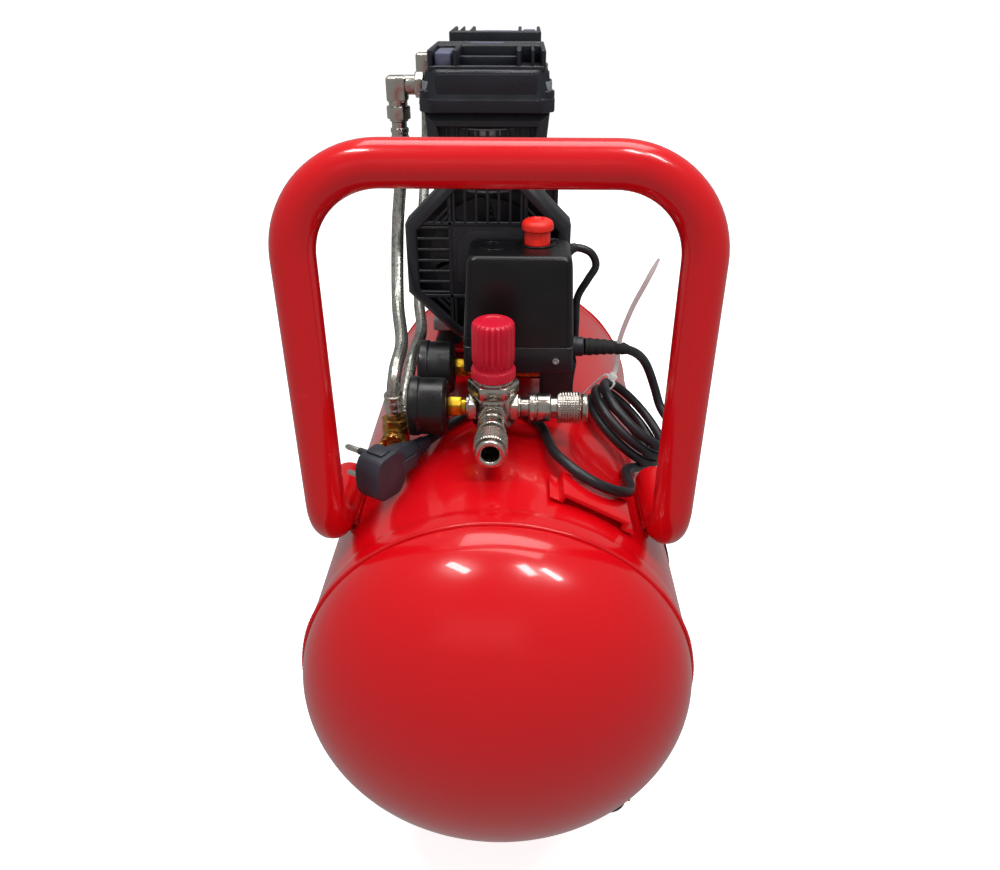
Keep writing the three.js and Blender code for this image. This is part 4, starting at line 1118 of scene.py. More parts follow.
def shroud(half_w, half_h, chamfer, hole, y):
    """A plate from the octagonal rim in to a round hole, which closes the guard's back."""
    sides = 96
    rim, circle = [], []
    for k in range(sides):
        c, d = cos(2 * pi * k / sides), sin(2 * pi * k / sides)
        across = half_w / max(abs(c), 1e-6)
        upright = half_h / max(abs(d), 1e-6)
        slanted = (half_w + half_h - chamfer) / (abs(c) + abs(d))
        reach = min(across, upright, slanted)
        rim.append((reach * c, reach * d))
        circle.append((hole * c, hole * d))
    return loft([at_depth(rim, y), at_depth(circle, y), at_depth(circle, y + 2), at_depth(rim, y + 2)])


def guard_shape(half_w, half_h, chamfer, depth, front):
    """The bevelled frame, its rim and the bars of the grille. front is the y of the face."""
    profile = [(0, depth), (0, 5), (0.8, 3.4), (3.6, 0.5), (4.8, 0), (FRAME_WIDTH - 1, 0), (FRAME_WIDTH, 1),
               (FRAME_WIDTH, 3.6), (3.5, 4.4), (3.5, depth)]
    shapes = [loft([at_depth(octagon(half_w, half_h, chamfer, inset), front + y) for inset, y in profile])]
    inner_w, inner_h = half_w - FRAME_WIDTH + 1, half_h - FRAME_WIDTH + 1
    face = front + 2.2
    core = 27
    bars = []
    for step in range(-3, 4):
        z = step * 8
        for side in (-1, 1):
            bars.append(((side * core, z), (side * inner_w, z), 1.8))
            bars.append(((z, side * core), (z, side * inner_h), 1.8))
    for sx in (-1, 1):
        bars.append(((sx * core, -inner_h), (sx * core, inner_h), 2.6))
        bars.append(((-inner_w, sx * core), (inner_w, sx * core), 2.6))
        for sz in (-1, 1):
            for reach in (6.5, 12):
                bars.append(((sx * (core + reach), sz * core), (sx * core, sz * (core + reach)), 1.7))
    for start, end, width in bars:
        shapes.append(shifted(bar(start, end, width, 2.8), y=face))
    plate = octagon(core + 1, core + 1, 3)
    shapes.append(shifted(along_y(prism(plate, -1.2, 1.2, 0.8, 2)), y=face + 0.4))
    raised = octagon(core - 5, core - 5, 8)
    shapes.append(shifted(along_y(prism(raised, -0.8, 0.6, 0.5, 2)), y=face - 1.2))
    shapes.append(shroud(half_w - 3.4, half_h - 3.4, chamfer - 2, 41, front + depth - 7.2))
    return shapes


def duct_shape(low_z, high_z, front, depth):
    """The bevelled air duct in front of the cylinder, with a dark mouth."""
    w = head_half - 3

    def frame_outline(inset):
        a, bottom, top = w - inset, low_z + inset, high_z - inset
        return [(-a + 4, bottom), (a - 4, bottom), (a, top), (-a, top)]

    profile = [(0, depth), (0, 5), (0.7, 3), (4.5, 0.4), (5.2, 0), (8, 0), (8.8, 1), (8.8, 8), (3.5, 8.6),
               (3.5, depth)]
    shapes = [loft([at_depth(frame_outline(inset), front + y) for inset, y in profile])]
    for k in range(9):
        x = -28 + 7 * k
        shapes.append(block(2, 3, high_z - low_z - 12, x, front + 10, (high_z + low_z) / 2, 0.4, 1))
    shapes.append(block(2 * w - 8, 2, high_z - low_z - 8, 0, front + 13, (high_z + low_z) / 2, 0.4, 1))
    return shapes


def head_shapes(base, deck, top):
    """The cylinder head: a chamfered casting whose deck has walls round deep recesses."""
    w, d = head_half, 42
    shapes = [shifted(prism(octagon(w, d, 8), 0, 9, 1.2, 3), z=base)]
    levels = [(base + 8, 0.0), (base + 9.5, 1.6), (deck - 2, 4.2), (deck, 5.2), (deck + 0.6, 6.2)]
    shapes.append(loft([[Vector((x, y, z)) for x, y in octagon(w - lean, d - lean * 0.5, 8)] for z,
                        lean in levels],
                       capped=True))
    rise = top - deck + 1
    middle_z = (top + deck) / 2 - 0.5
    for x, width in ((-37, 3), (-20.5, 3), (21, 3), (37, 3), (30, 2)):
        shapes.append(block(width, 70, rise, x, 0, middle_z, 1.2, 3))
    shapes.append(block(76, 3.4, rise, 0, 34, middle_z, 1.2, 3))
    shapes.append(block(76, 3, 4, 0, -34, deck + 0.8, 1.1, 3))
    shapes.append(block(74, 22, rise - 0.6, 0, 24, middle_z - 0.3, 1.5, 3))
    shapes.append(block(40, 3, rise - 6, 0, -6, middle_z - 3, 1, 3))
    shapes.append(block(66, 1.4, 15, 0, -d + 1.7, (base + deck) / 2 + 3.4, 0.5, 2))
    for sx in (-1, 1):
        for y in (-SCREW_Y, SCREW_Y):
            shapes.append(shifted(disc(6.4, 4, 13.4, 40, 0.9), sx * (w - SCREW_INSET), y, base))
    return shapes


def head_blocks(deck, top):
    """The paler block in the left recess and the blank raised plate behind it."""
    return [block(11.5, 34, top - deck - 2, -28.8, -12, (top + deck) / 2 - 1, 1.6, 3),
            block(24, 11, 1.2, -2, 25, top - 0.7, 0.5, 2)]


def head_screws(base):
    shapes = []
    for sx in (-1, 1):
        for y in (-SCREW_Y, SCREW_Y):
            shapes.append(shifted(cap_screw(4.6, 5.6), sx * (head_half - SCREW_INSET), y, base + 13.3))
    return shapes


def filter_shape(base, deck):
    z = (base + deck) / 2
    outline = [(0, 41), (12.4, 41), (12.4, 44)]
    for k in range(6):
        y = 45 + 2.6 * k
        outline += [(13, y), (13, y + 1.4), (11.8, y + 1.7), (11.8, y + 2.3)]
    outline += [(12.6, 61), (11, 62), (0, 62)]
    return aimed(revolved(outline, 48), BACK, (20, 0, z))


def cylinder_shape(base, top):
    """The barrel with its thin cooling fins."""
    bore, core, fin = 24, 27.5, 32
    outline = [(bore, base), (fin, base), (fin, base + 2.4)]
    count = 8
    pitch = (top - base - 5) / count
    for k in range(count):
        z = base + 2.4 + pitch * (k + 0.55)
        outline += [(core, z - pitch * 0.4), (core, z - 0.9), (fin, z - 0.7), (fin, z + 0.7), (core, z + 0.9)]
    outline += [(core, top), (bore, top)]
    return revolved(rounded(outline, 0.5, 1, closed=True), 72, closed=True)


def crankcase_shapes(outer, inner, foot):
    """The drum, its neck and the two feet, rounded like a casting."""
    drum_outline = [
        (41, outer), (46, outer), (46, inner - 1.5), (44, inner), (8.5, inner), (8.5, inner - 5),
        (41, inner - 5),
    ]
    drum = aimed(revolved(rounded(drum_outline, 1.6, 3, closed=True), 96, closed=True), BACK)
    shapes = [drum]
    for side in (-1, 1):
        shapes.append(block(4, 2 * -outer, 22, side * 25.6, 0, 45.6, 1.2, 3))
        shapes.append(shifted(cap_screw(4, 5), side * 40, 7.5, foot + 9.2))
    base = [
        (-45, foot), (45, foot), (45, foot + 9), (37, foot + 12), (31, foot + 34), (-31, foot + 34),
        (-37, foot + 12), (-45, foot + 9),
    ]
    shapes.append(along_y(prism(base, -10, inner - 1, 1.6, 3)))
    for y in (outer + 1.6, -outer - 1.6):
        shapes.append(block(50, 3.2, 16, 0, y, 48.5, 1, 2))
    for k in range(10):
        a = radians(36 * k + 18)
        if abs(cos(a)) < 0.25 and sin(a) > 0:
            continue
        rib = block(3, 26, 3, 0, 0, 46.2, 1, 2)
        shapes.append(moved(shifted(rib, y=6), Matrix.Rotation(a + pi / 2, 4, "Y")))
    return shapes


BLADES = 7


def fan_shape(radius, thickness, bore):
    """A hub with its twisted blades."""
    hub = ring(bore, 13, -thickness / 2, thickness / 2, 48, 0.8)
    shapes = [hub]
    for k in range(BLADES):
        start, end = 11, radius - 0.4
        loops = []
        steps = 8
        for i in range(steps + 1):
            share = i / steps
            r = start + (end - start) * share
            lift = (thickness / 2 - 0.9) * (1 - 0.25 * share)
            width = 0.30 + 0.10 * share
            swirl = 0.25 * share
            thick = 1.5 - 0.7 * share
            loop = []
            for face, order in ((1, range(9)), (-1, range(8, -1, -1))):
                for j in order:
                    across = j / 8 - 0.5
                    a = swirl + width * across * 2
                    z = lift * sin(across * pi * 0.9) + face * thick / 2
                    loop.append(Vector((r * cos(a), r * sin(a), z)))
            loops.append(loop)
        blade = loft(loops, capped=True)
        shapes.append(moved(blade, Matrix.Rotation(2 * pi * k / BLADES, 4, "Z")))
    return shapes


def elbow_shapes(height, reach):
    start = head_half + GAP
    tube = aimed(disc(6.4, 0, reach - start, 40, 0.5), LEFT, (-start, 0, height))
    corner = block(14.5, 13.6, 17, -reach, 0, height - 2.6, 2.2, 3)
    drop = shifted(disc(6.6, -23.8, -8, 40, 0.5), -reach, 0, height)
    nut = aimed(hexagon(15, 0, 6), LEFT, (-start, 0, height))
    end_nut = shifted(hexagon(15, -22.5, -13.5, 1), -reach, 0, height)
    return [tube, corner, drop, nut, end_nut]


def make_pump():
    shaft_z = shaft.z
    base, deck, top = deck_low - shaft_z, deck_high - shaft_z, rib_high - shaft_z
    guard_low, guard_high = low("fan_guard_front"), high("fan_guard_front")
    half_w = (guard_high.x - guard_low.x) / 2
    half_h = shaft_z - guard_low.z
    depth = GUARD_DEPTH
    front = guard_low.y - middle("cylinder_front").y
    cylinder_base, cylinder_top = low("cylinder_front").z - shaft_z, high("cylinder_front").z - shaft_z
    cylinder_y = middle("cylinder_front").y
    crank_outer = low("crankcase_front").y - cylinder_y
    crank_inner = high("crankcase_front").y - cylinder_y
    foot = low("crankcase_front").z - shaft_z
    elbow_height = base + HEAD_BODY / 2
    for end, place in PUMP_ENDS:
        def placed(shapes):
            return [moved(shape, place) for shape in (shapes if isinstance(shapes, list) else [shapes])]

        piece("head_" + end, placed(head_shapes(base, deck, top)), CAST, replaces="cylinder_head_" + end)
        piece("head_block_" + end, placed(head_blocks(deck, top)), PALE_CAST)
        piece("head_screws_" + end, placed(head_screws(base)), ZINC)
        piece("filter_" + end, placed(filter_shape(base, deck)), BLACK)
        piece("finned_cylinder_" + end, placed(cylinder_shape(cylinder_base, cylinder_top)), ALUMINIUM,
              replaces="cylinder_" + end)
        piece("crank_drum_" + end, placed(crankcase_shapes(crank_outer, crank_inner, foot)), ALUMINIUM,
              replaces="crankcase_" + end)
        guard = guard_shape(half_w, half_h, 35, depth, front)
        duct = duct_shape(half_h - 2, cylinder_top - GAP, front, depth + 6)
        piece("guard_" + end, placed(guard + duct), BLACK, replaces="fan_guard_" + end)
        fan_y = middle("fan_front").y - middle("cylinder_front").y
        blades = [aimed(shape, FRONT, (0, fan_y, 0)) for shape in fan_shape(43, 10, 7.3)]
        piece("impeller_" + end, placed(blades), BLACK, "motor_rotor", replaces="fan_" + end)
        crown_low = low("piston_front").z - shaft_z
        crown_high = high("piston_front").z - shaft_z
        piston = [disc(23.4, crown_high - 14, crown_high, 64, 0.8)]
        inner_eye = -crown_low - 4
        piston.append(aimed(ring(inner_eye, inner_eye + 4, -5, 5, 64, 0.6), BACK))
        piston.append(
            block(12, 8, crown_high - 14 - inner_eye - 2, 0, 0, (crown_high - 14 + inner_eye + 2) / 2, 1, 2)
        )
        piece("piston_rod_" + end, placed(piston), ALUMINIUM, "piston_" + end, replaces="piston_" + end)
    for end, sign in (("front", -1), ("rear", 1)):
        place = Matrix.Translation((shaft.x, shaft.y + sign * spacing, shaft.z))
        shapes = [moved(shape, place) for shape in elbow_shapes(elbow_height, ELBOW_REACH)]
        piece("elbow_" + end, shapes, NICKEL, replaces="outlet_elbow_" + end)


make_pump()


STACK_BORE, STACK_HALF = 31, 38  # the stator's laminations
FINS = 38
WINDINGS = 8


def make_motor():
    half = (high("motor_stator").y - low("motor_stator").y) / 2
    outer = (high("motor_stator").x - low("motor_stator").x) / 2
    laminations = []
    outline = [(STACK_BORE, -STACK_HALF)]
    for k in range(FINS):
        y = -STACK_HALF + 2 * STACK_HALF * k / FINS
        outline += [(outer - 0.6, y + 0.1), (outer, y + 0.45), (outer, y + 1.6), (outer - 0.6, y + 1.95)]
    outline.append((STACK_BORE, STACK_HALF))
    stack = aimed(revolved(outline, 96, closed=True), BACK, shaft)
    laminations.append(stack)
    for sign in (-1, 1):
        cover_outline = [
            (31, sign * 40), (outer - 3, sign * 40), (outer - 0.5, sign * 43),
            (outer - 0.5, sign * (half - 1)), (outer - 2, sign * half), (31, sign * half),
        ]
        laminations.append(
            aimed(revolved(rounded(cover_outline, 1, 2, closed=True), 96, closed=True), BACK, shaft)
        )
        for k in range(4):
            a = radians(45 + 90 * k)
            stud = disc(2.4, -half + 0.2, half - 0.2, 20, 0.4)
            at = shaft + Vector(((outer - 3.6) * cos(a), 0, (outer - 3.6) * sin(a)))
            if sign < 0:
                laminations.append(aimed(stud, BACK, at))
    piece("stator_stack", laminations, STEEL, replaces="motor_stator")
    coils = []
    for sign in (-1, 1):
        for k in range(WINDINGS):
            a = 2 * pi * (k + 0.5) / WINDINGS
            at = shaft + Vector((35.5 * cos(a), sign * 40, 35.5 * sin(a)))
            lump = disc(6.5, -3, 3, 24, 2.2)
            coils.append(aimed(lump, BACK, at))
    piece("stator_coils", coils, COPPER)
    end = (high("motor_shaft").y - low("motor_shaft").y) / 2
    rod = aimed(disc(7, -end, end, 48, 0.8), BACK, shaft)
    rotor = aimed(ring(6.5, 30, -45, 45, 96, 1), BACK, shaft)
    shapes = [rod, rotor]
    for sign in (-1, 1):
        shapes.append(aimed(disc(8, -5, 5, 48, 0.4), BACK, shaft + Vector((0, sign * spacing, sign * 6))))
    piece("rotor_shaft", shapes, STEEL, "motor_rotor", replaces="motor_shaft")
    at = shaft + Vector((0, 0, outer + 18.5))
    can_outline = [(0, -32), (16.5, -32), (18, -30.5), (18, 27), (17, 28.5), (16.2, 30), (16.2, 32), (0, 32)]
    can = aimed(revolved(rounded(can_outline, 0.8, 3), 64), BACK, at)
    piece("run_capacitor", can, BLACK)
    strap = aimed(ring(18.1, 19.1, -5, 5, 64, 0.3), BACK, at)
    piece("capacitor_strap", strap, ZINC)


make_motor()


def make_platform():
    for end in ("front", "rear"):
        for side in ("left", "right"):
            node = "pump_mount_" + end + "_" + side
            at, base = middle(node), low(node).z
            outline = [(0, 0), (10.6, 0), (11, 1), (9, 4.5), (8.4, 7), (9, 9.5), (11, 13), (10.6, 14),
                       (0, 14)]
            piece("mount_" + end + "_" + side,
                  shifted(revolved(rounded(outline, 0.8, 3), 48), at.x, at.y, base), RUBBER, replaces=node)
    lo, hi = low("pump_platform"), high("pump_platform")
    sheet = 3
    top = hi.z
    left, right = lo.x, hi.x

    def seat(x):
        return tank_top(x) + GAP

    outline = [
        (left, seat(left + sheet)), (left + sheet, seat(left + sheet)), (left + sheet, top - sheet),
        (right - sheet, top - sheet), (right - sheet, seat(right - sheet)), (right, seat(right - sheet)),
        (right, top), (left, top),
    ]
    piece("platform", along_y(prism(outline, lo.y, hi.y, 0.7, 3)), RED, replaces="pump_platform")


make_platform()


# ---- Check valve and hoses ----

def make_check_valve():
    seat = tank_top(bung_places()[1][0].x) + BUNG_RISE + GAP
    at = middle("check_valve")
    x, y = at.x, VALVE_Y
    centre = seat + 12
    top = high("check_valve").z
    nickel = [shifted(hexagon(18, 0, 6), x, y, seat), shifted(ring(5, 8.4, 6, 7.4, 40, 0.3), x, y, seat)]
    piece("valve_seat_nut", nickel, NICKEL)
    body_outline = [
        (0, 0), (8, 0), (8, 2), (9.2, 4), (9.2, 20), (8, 22), (8, top - seat - 8), (0, top - seat - 8),
    ]
    body = [shifted(revolved(rounded(body_outline, 0.8, 3), 48), x, y, seat)]
    body.append(aimed(disc(8.6, -13, 16, 48, 0.7), BACK, (x, y, centre)))
    body.append(aimed(hexagon(15.4, 8.5, 15.4), BACK, (x, y, centre)))
    body.append(shifted(hexagon(15.6, top - seat - 10, top - seat - 0.2), x, y, seat))

    def castle(angle, radius, height):
        return radius - (1.1 if radius > 7.5 and sin(angle * 12) > 0 else 0)

    cap_outline = [(0, 9.4), (9.4, 9.4), (9.4, 14.2), (8.4, 15.2), (5.6, 15.2), (5.6, 13.6), (0, 13.6)]
    cap = revolved(rounded(cap_outline, 0.4, 2), 144, wave=castle)
    body.append(aimed(cap, FRONT, (x, y, centre)))
    body.append(aimed(disc(5, 12, 14.4, 32, 0.8), FRONT, (x, y, centre)))
    piece("valve_body", body, BRASS, replaces="check_valve")


make_check_valve()


def hose_points():
    top_z = low("outlet_elbow_front").z - GAP
    x = shaft.x - ELBOW_REACH
    valve_x, valve_y = middle("check_valve").x, VALVE_Y
    valve_top = high("check_valve").z + GAP
    valve_centre = valve_top - GAP - 15
    front_y = shaft.y - spacing
    rear_y = shaft.y + spacing
    top = Vector((x, front_y, top_z))
    bottom = Vector((valve_x, valve_y, valve_top))
    front = [
        top, top + Vector((0, 0, -18)), top + Vector((-1, -4, -40)), top + Vector((-3, -15, -66)),
        top + Vector((-3, -32, -94)), top + Vector((-1, -54, -118)), bottom + Vector((2, 36, 37)),
        bottom + Vector((1, 10, 30)), bottom + Vector((0, 0, 17)), bottom,
    ]
    top = Vector((x, rear_y, top_z))
    bottom = Vector((valve_x, valve_y + 16 + GAP, valve_centre))
    rear = [
        top, top + Vector((0, 0, -18)), top + Vector((-1, -6, -48)), top + Vector((-2, -40, -92)),
        top + Vector((-1, -86, -128)), top + Vector((2, -136, -150)), top + Vector((8, -176, -160)),
        bottom + Vector((2, 66, 20)), bottom + Vector((0, 36, 6)), bottom + Vector((0, 17, 0)), bottom,
    ]
    return (("front", front), ("rear", rear))


def make_hoses():
    """Braided hoses: flat strands wound both ways, and a crimped ferrule at each end."""
    radius = 4.5
    for name, points in hose_points():
        path = path_through(points, 1.0)
        strands = 16
        pitch = 26

        def weave(s, a):
            one = sin(strands / 2 * (a + 2 * pi * s / pitch))
            two = sin(strands / 2 * (a - 2 * pi * s / pitch))
            return radius - 0.05 + 0.3 * one * two

        hose = swept(even(path, 0.8), radius, 48, weave)
        piece("hose_" + name, hose, BRAID, replaces="delivery_hose_" + name, sharp=80)
        ferrules = []
        for start, on in ((path[0], path[3]), (path[-1], path[-4])):
            outline = [
                (0, 0), (5.4, 0), (5.4, 4), (6.5, 4.6), (6.5, 7), (6, 7.6), (6, 9.4), (6.5, 10), (6.5, 12.4),
                (6, 13), (6, 15), (6.4, 15.6), (6.3, 17), (4.4, 17),
            ]
            ferrules.append(aimed(revolved(rounded(outline, 0.3, 2), 40), on - start, start))
        piece("ferrules_" + name, ferrules, NICKEL)


make_hoses()


# ---- Manifold, safety valve, regulator, gauges and couplers ----

regulator = middle("regulator_knob")
riser = Vector((RISER_X, RISER_Y, 0))


def make_manifold():
    seat = tank_top(riser.x) + BUNG_RISE + GAP
    column = shifted(disc(8, seat, control_z + 4, 40), riser.x, riser.y)
    reach = riser.x - (high("tank_gauge_case").x + GAP)
    tube = aimed(disc(7.5, 0, reach, 40, 0.7), LEFT, (riser.x, riser.y, control_z))
    ports = [aimed(hexagon(15, reach - 9, reach - 1), LEFT, (riser.x, riser.y, control_z))]
    nipple_length = riser.y - high("regulator_body").y - GAP
    nipple = aimed(disc(5.5, 0, nipple_length, 32, 0.4), FRONT, (regulator.x, riser.y, control_z))
    nut = aimed(hexagon(14, 28, 36), FRONT, (regulator.x, riser.y, control_z))
    collar = aimed(disc(8.6, 4, 11, 32, 0.6), FRONT, (regulator.x, riser.y, control_z))
    piece("manifold_tube", [column, tube, *ports, nipple, nut, collar], BRASS, replaces="manifold")
    lo, hi = low("safety_valve"), high("safety_valve")
    at = Vector(((lo.x + hi.x) / 2, lo.y, control_z))
    body = [aimed(hexagon(13, 0, 6), BACK, at), aimed(disc(6, 5, 15, 40, 1), BACK, at)]
    piece("safety_body", body, BRASS, replaces="safety_valve")
    at = at + Vector((0, 15 + GAP, 0))
    loop = []
    for k in range(61):
        a = 2 * pi * k / 60
        loop.append(at + Vector((0, 9.5 + 5.4 * cos(a), 5.4 * sin(a))))
    stem = aimed(disc(1.5, 0, 4, 20, 0.3), BACK, at)
    piece("safety_pull", [stem, swept(loop, 0.9, 12, cap=False)], STEEL, "safety_valve_ring",
          replaces="safety_valve_ring")


make_manifold()


def make_regulator():
    at = Vector((regulator.x, regulator.y, control_z))
    bonnet = low("regulator_knob").z - GAP - control_z
    column_outline = [
        (0, -16), (9, -16), (10, -15), (10, -12), (13, -12), (14.5, -10.5), (14.5, 9), (13.4, 11), (0, 11),
    ]
    shapes = [moved(revolved(rounded(column_outline, 0.9, 3), 64), Matrix.Translation(at))]
    for way in (LEFT, RIGHT, FRONT, BACK):
        shapes.append(aimed(hexagon(17.6, 6, 16.6, 1), way, at))
        shapes.append(aimed(disc(7.6, 12, 18, 48, 0.5), way, at))
    shapes.append(moved(hexagon(30, 11.4, bonnet - 1.6, 1.4), Matrix.Translation(at)))
    shapes.append(moved(disc(13.4, bonnet - 3, bonnet, 64, 0.8), Matrix.Translation(at)))
    shapes.append(moved(disc(5, bonnet - 1, bonnet + 20, 32, 0.6), Matrix.Translation(at)))
    piece("regulator_cross", shapes, NICKEL, replaces="regulator_body")
    radius, height = 14, high("regulator_knob").z - low("regulator_knob").z

    def flutes(angle, r, h):
        """Narrow grooves between broad ridges, and fine ribs on the skirt."""
        if 1.5 < h < 6:
            return r - 0.22 * (cos(angle * 44) > 0.3)
        if not 11.5 < h < height - 0.8 or r < 11:
            return r
        groove = max(0, cos(angle * 22) - 0.35) / 0.65
        return r - 0.95 * groove**0.6

    outline = [
        (5.2, 0), (radius - 0.4, 0), (radius + 0.6, 0.9), (radius + 0.6, 1.6), (radius + 0.6, 5.9),
        (radius + 0.1, 6.8), (radius - 1.2, 7.4), (radius - 1.4, 9.6), (radius - 0.9, 10.4),
        (radius - 0.5, 11.6), (radius - 0.1, 13), (radius, 20), (radius - 0.1, height - 6),
        (radius - 0.4, height - 2.4), (radius - 0.9, height - 1.3), (radius - 2.2, height - 0.3),
        (radius - 3.4, height - 0.1), (8.4, height - 0.1), (7.8, height - 0.7), (0, height - 0.7),
    ]
    knob = revolved(outline, 264, wave=flutes)
    piece("knob_body", [shifted(knob, regulator.x, regulator.y, low("regulator_knob").z)], CRIMSON,
          "regulator_knob", replaces="regulator_knob", sharp=40)


make_regulator()


def make_gauge(name):
    case, body = name + "_case", name + "_needle"
    at = Vector((high(case).x, middle(case).y, control_z))
    radius = 20
    reach = high(case).x - low(case).x
    back = reach - 25
    front = reach
    turn = aim(LEFT, at)
    outline = [
        (0, back - 1), (9, back - 1), (10, back), (radius - 3, back), (radius - 1, back + 2.2),
        (radius - 1, front - 7.4), (radius - 0.2, front - 6.6), (radius, front - 5.6), (radius, front - 1.2),
        (radius - 0.8, front), (radius - 2, front), (radius - 2.6, front - 1), (radius - 2.6, front - 4.4),
        (0, front - 4.9),
    ]
    shell = moved(revolved(rounded(outline, 0.5, 2), 96), turn)
    piece(name + "_shell", shell, GAUGE_BLACK, replaces=case)
    stem = [moved(disc(5.5, 0, 3, 32, 0.3), turn), moved(hexagon(12.6, 3, back - 0.8), turn)]
    piece(name + "_stem", stem, YELLOW_BRASS)
    dial = moved(disc(radius - 2.7, front - 4.8, front - 4.45, 96, 0.1), turn)
    piece(name + "_dial", dial, DIAL_WHITE)
    marks = []
    for k in range(51):
        a = radians(-135 + 270 * k / 50)
        long = 3.4 if k % 10 == 0 else (2.4 if k % 5 == 0 else 1.4)
        wide = 0.5 if k % 5 == 0 else 0.22
        mark = block(wide, long, 0.12, 0, radius - 4.2 - long / 2, front - 4.4, 0.03, 1)
        marks.append(moved(moved(mark, Matrix.Rotation(-a, 4, "Z")), turn))
    piece(name + "_scale", marks, PRINT)
    lens = moved(disc(radius - 2.5, front - 1.9, front - 1.1, 96, 0.25), turn)
    piece(name + "_lens", lens, GLASS)
    dial_x = high(body).x
    centre = Vector((dial_x, at.y, control_z))
    base = Matrix.Translation(centre) @ aim(LEFT) @ Matrix.Rotation(radians(135), 4, "Z")
    pointer = [(-0.9, -5), (0.9, -5), (0.55, 0), (0.16, 13), (-0.16, 13), (-0.55, 0)]
    shapes = [moved(prism(pointer, 0.9, 1.4, 0.12, 1), base), moved(disc(2.2, 0, 2.2, 32, 0.4), base)]
    piece(name + "_pointer", shapes, PRINT, body, replaces=body)


make_gauge("outlet_gauge")
make_gauge("tank_gauge")


COUPLER_LENGTH = 44
SLEEVE_START, SLEEVE_LENGTH = 24.15, 15
COVER_HEIGHT = 62


def make_coupler(name, base, way):
    turn = aim(way, base)
    length = COUPLER_LENGTH
    radius = 9.5
    bore = 5.5
    outline = [
        (3, 0), (6.2, 0), (6.2, 5), (8.8, 5), (radius, 5.8), (radius, 9), (8.9, 9.6), (8.9, 10.6),
        (radius, 11.2), (radius, 18.8), (8.8, 19.7), (7.2, 19.7), (7.2, length - 5.2), (7.6, length - 4),
        (radius - 0.6, length - 4), (radius, length - 3.2), (radius, length - 1), (radius - 0.8, length),
        (bore + 1.2, length), (bore, length - 1.2), (bore, 14), (3, 14),
    ]
    body = moved(revolved(rounded(outline, 0.35, 2, closed=True), 72, closed=True), turn)
    nut = moved(hexagon(15.6, 5.6, 11), turn)
    piece(name + "_barrel", [body, nut], NICKEL, replaces=name + "_body")
    inner = moved(ring(3.1, bore - 0.05, 20, 21.5, 40, 0.3), turn)
    piece(name + "_seal", inner, RUBBER)
    sleeve = name + "_sleeve"
    size = SLEEVE_LENGTH
    outline = [(7.6, 0), (10, 0)]
    ribs = 7
    for k in range(ribs):
        h = 1.4 + k * (size - 2.6) / ribs
        outline += [(10.6, h), (10.6, h + 0.85), (9.9, h + 1.05), (9.9, h + 1.45)]
    outline += [(10.6, size - 0.9), (10.3, size), (7.6, size)]

    def knurl(angle, r, h):
        return r - 0.16 * (1 + sin(angle * 40)) * (r > 10.2)

    shape = aimed(revolved(outline, 240, closed=True, wave=knurl), way, base + way * SLEEVE_START)
    piece(name + "_grip", shape, NICKEL, sleeve, replaces=sleeve)


make_coupler("front_coupler", Vector((regulator.x, high("front_coupler_body").y, control_z)), FRONT)
make_coupler("side_coupler", Vector((low("side_coupler_body").x, regulator.y, control_z)), RIGHT)


# ---- Pressure switch ----

def lofted_box(levels, radius=3.5, steps=4):
    """A rounded box through (z, half width, half depth) levels."""
    loops = []
    for z, w, d in levels:
        outline = rounded([(-w, -d), (w, -d), (w, d), (-w, d)], radius, steps, closed=True)
        loops.append([Vector((x, y, z)) for x, y in outline])
    return loft(loops, capped=True)


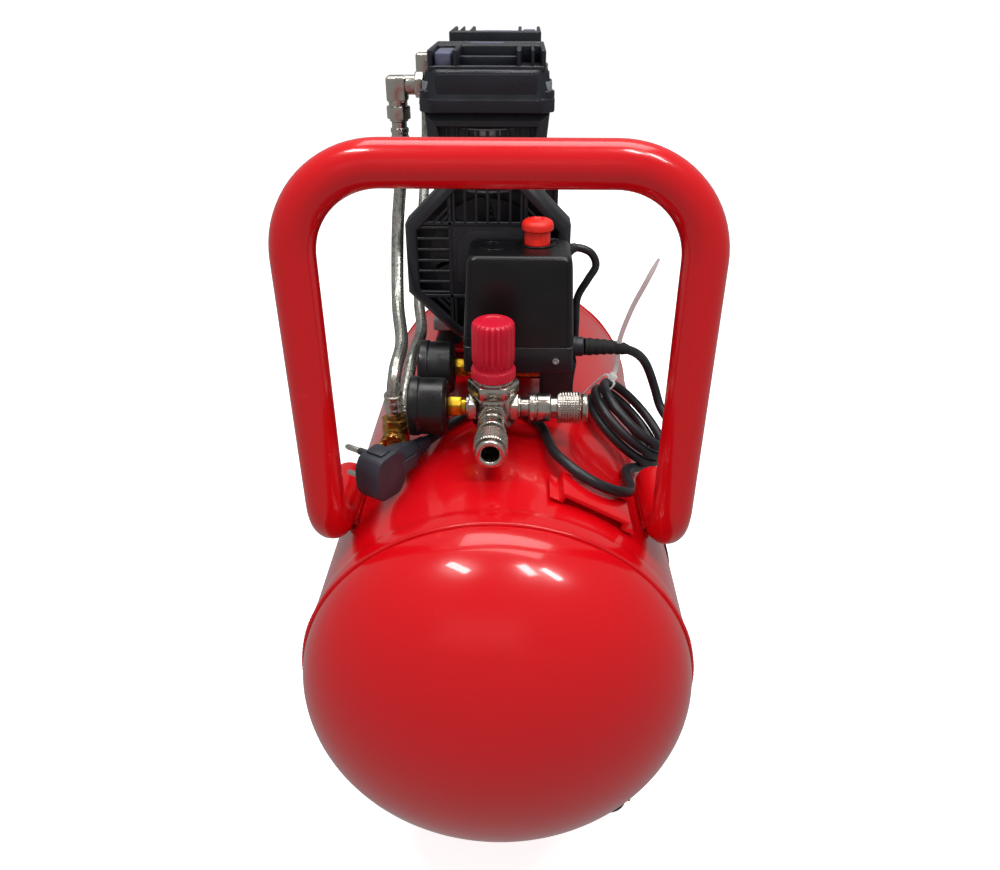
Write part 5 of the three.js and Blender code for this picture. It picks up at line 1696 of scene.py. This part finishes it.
def make_switch():
    cover_low, cover_high = low("switch_cover"), high("switch_cover")
    x, y = middle("switch_cover").x, middle("switch_cover").y
    half_w = (cover_high.x - cover_low.x) / 2
    half_d = (cover_high.y - cover_low.y) / 2
    base_z = control_z + 7.5 + GAP
    cover_z = cover_low.z
    cover_top = cover_z + COVER_HEIGHT
    levels = [(0, 0), (0.1, 0), (54, 2.5), (57.6, 2.9), (59.6, 3.5), (61, 4.5), (61.8, 5.9), (62, 7.6)]
    levels = [(cover_z + z, half_w - lean, half_d - lean) for z, lean in levels]
    cover = moved(lofted_box(levels, 6, 6), Matrix.Translation((x, y, 0)))
    marker = shifted(ring(8, 10, cover_top - 0.6, cover_top + 0.7, 64, 0.4), x - 18, y + 2)
    knob = middle("switch_knob")
    collar = shifted(ring(9.6, 12.4, cover_top - 0.5, cover_top + 1, 64, 0.5), knob.x, knob.y)
    piece("switch_hood", [cover, marker, collar], SWITCH, replaces="switch_cover", sharp=40)
    tray = moved(lofted_box([(base_z, half_w - 1.4, half_d - 1.4), (base_z + 1.2, half_w - 0.2, half_d - 0.2),
                             (base_z + 1.6, half_w, half_d),
                             (base_z + 19.4, half_w, half_d), (base_z + 20, half_w - 0.6, half_d - 0.6)]),
                 Matrix.Translation((x, y, 0)))
    seat = tank_top(riser.x) + BUNG_RISE + 1 + GAP
    neck = moved(
        lofted_box([(seat, 12, 13), (seat + 14, 12, 13), (base_z + 2, 13.6, 14.6)], 4),
        Matrix.Translation((riser.x, riser.y, 0)),
    )
    gland_z = base_z + 10
    gland_outline = [(3.8, 0), (7.5, 0), (7.5, 3), (7, 3.4), (7, 8), (6.2, 9), (3.8, 9)]
    gland = aimed(
        revolved(rounded(gland_outline, 0.4, 2, closed=True), 48, closed=True), RIGHT,
        (x + half_w - 0.2, y, gland_z),
    )
    piece("switch_tray", [tray, neck, gland], BLACK, replaces="switch_base", sharp=40)
    screws = []
    for sx in (-1, 1):
        screws.append(aimed(cap_screw(2.4, 1.4), FRONT, (x + sx * 26, y - half_d + 0.2, base_z + 10)))
    piece("switch_screws", screws, ZINC)
    top = high("switch_knob").z
    radius, cap = 8.8, 10.8
    outline = [
        (0, cover_top - 17), (radius, cover_top - 17), (radius, top - 9), (radius - 0.4, top - 8),
        (cap - 0.8, top - 7.6), (cap, top - 6.6), (cap, top - 3.4), (cap - 0.7, top - 1.9),
        (cap - 2.4, top - 0.7), (cap - 5, top - 0.1), (4.4, top - 0.1), (3.6, top - 0.9), (0, top - 1.1),
    ]
    piece(
        "stop_knob_cap", shifted(revolved(outline, 96), knob.x, knob.y), STOP_RED, "switch_knob",
        replaces="switch_knob",
    )
    return cover_top


cover_top = make_switch()


def make_lead():
    """The motor's lead, in a smooth run from the switch to the motor."""
    points = [
        (44, -14, -10), (52, -10.5, -9), (62, -10, -13), (66, -10, -22), (61, -10.5, -32), (54, -10.5, -46),
        (53.5, -10, -66), (54, -4, -84), (54, 12, -94), (52, 40, -92), (48, 66, -78), (43.5, 82, -62),
        (40, 90, -50),
    ]
    path = path_through([Vector((x, y, cover_top + z)) for x, y, z in points], 1.5)
    lead = swept(path, 2.8, 20)
    start = path[0]
    bush = aimed(
        revolved(rounded([(0, -1), (5, -1), (5, 2), (3.6, 5), (3.2, 8), (0, 8)], 0.5, 3), 32),
        path[2] - start, start,
    )
    piece("motor_flex", [lead, bush], JACKET, replaces="motor_lead", sharp=60)


make_lead()


# ---- Blank sticker on the tank's right side ----

def make_sticker():
    """A blank sticker bent round the barrel."""
    def patch(y0, y1, a0, a1, lift):
        bm = bmesh.new()
        rows = []
        across = 24
        for i in range(across + 1):
            a = radians(a0 + (a1 - a0) * i / across)
            r = tank_radius + lift
            rows.append([bm.verts.new((r * sin(a), y, tank_axis + r * cos(a))) for y in (y0, y1)])
        for a, b in zip(rows, rows[1:]):
            bm.faces.new((a[0], a[1], b[1], b[0]))
        bmesh.ops.recalc_face_normals(bm, faces=bm.faces)
        return bm

    piece("sticker_base", patch(-110, 110, 72, 112, 0.25), STICKER)
    piece("sticker_band", patch(-110, 110, 72, 80, 0.4), STICKER_BLUE)


make_sticker()
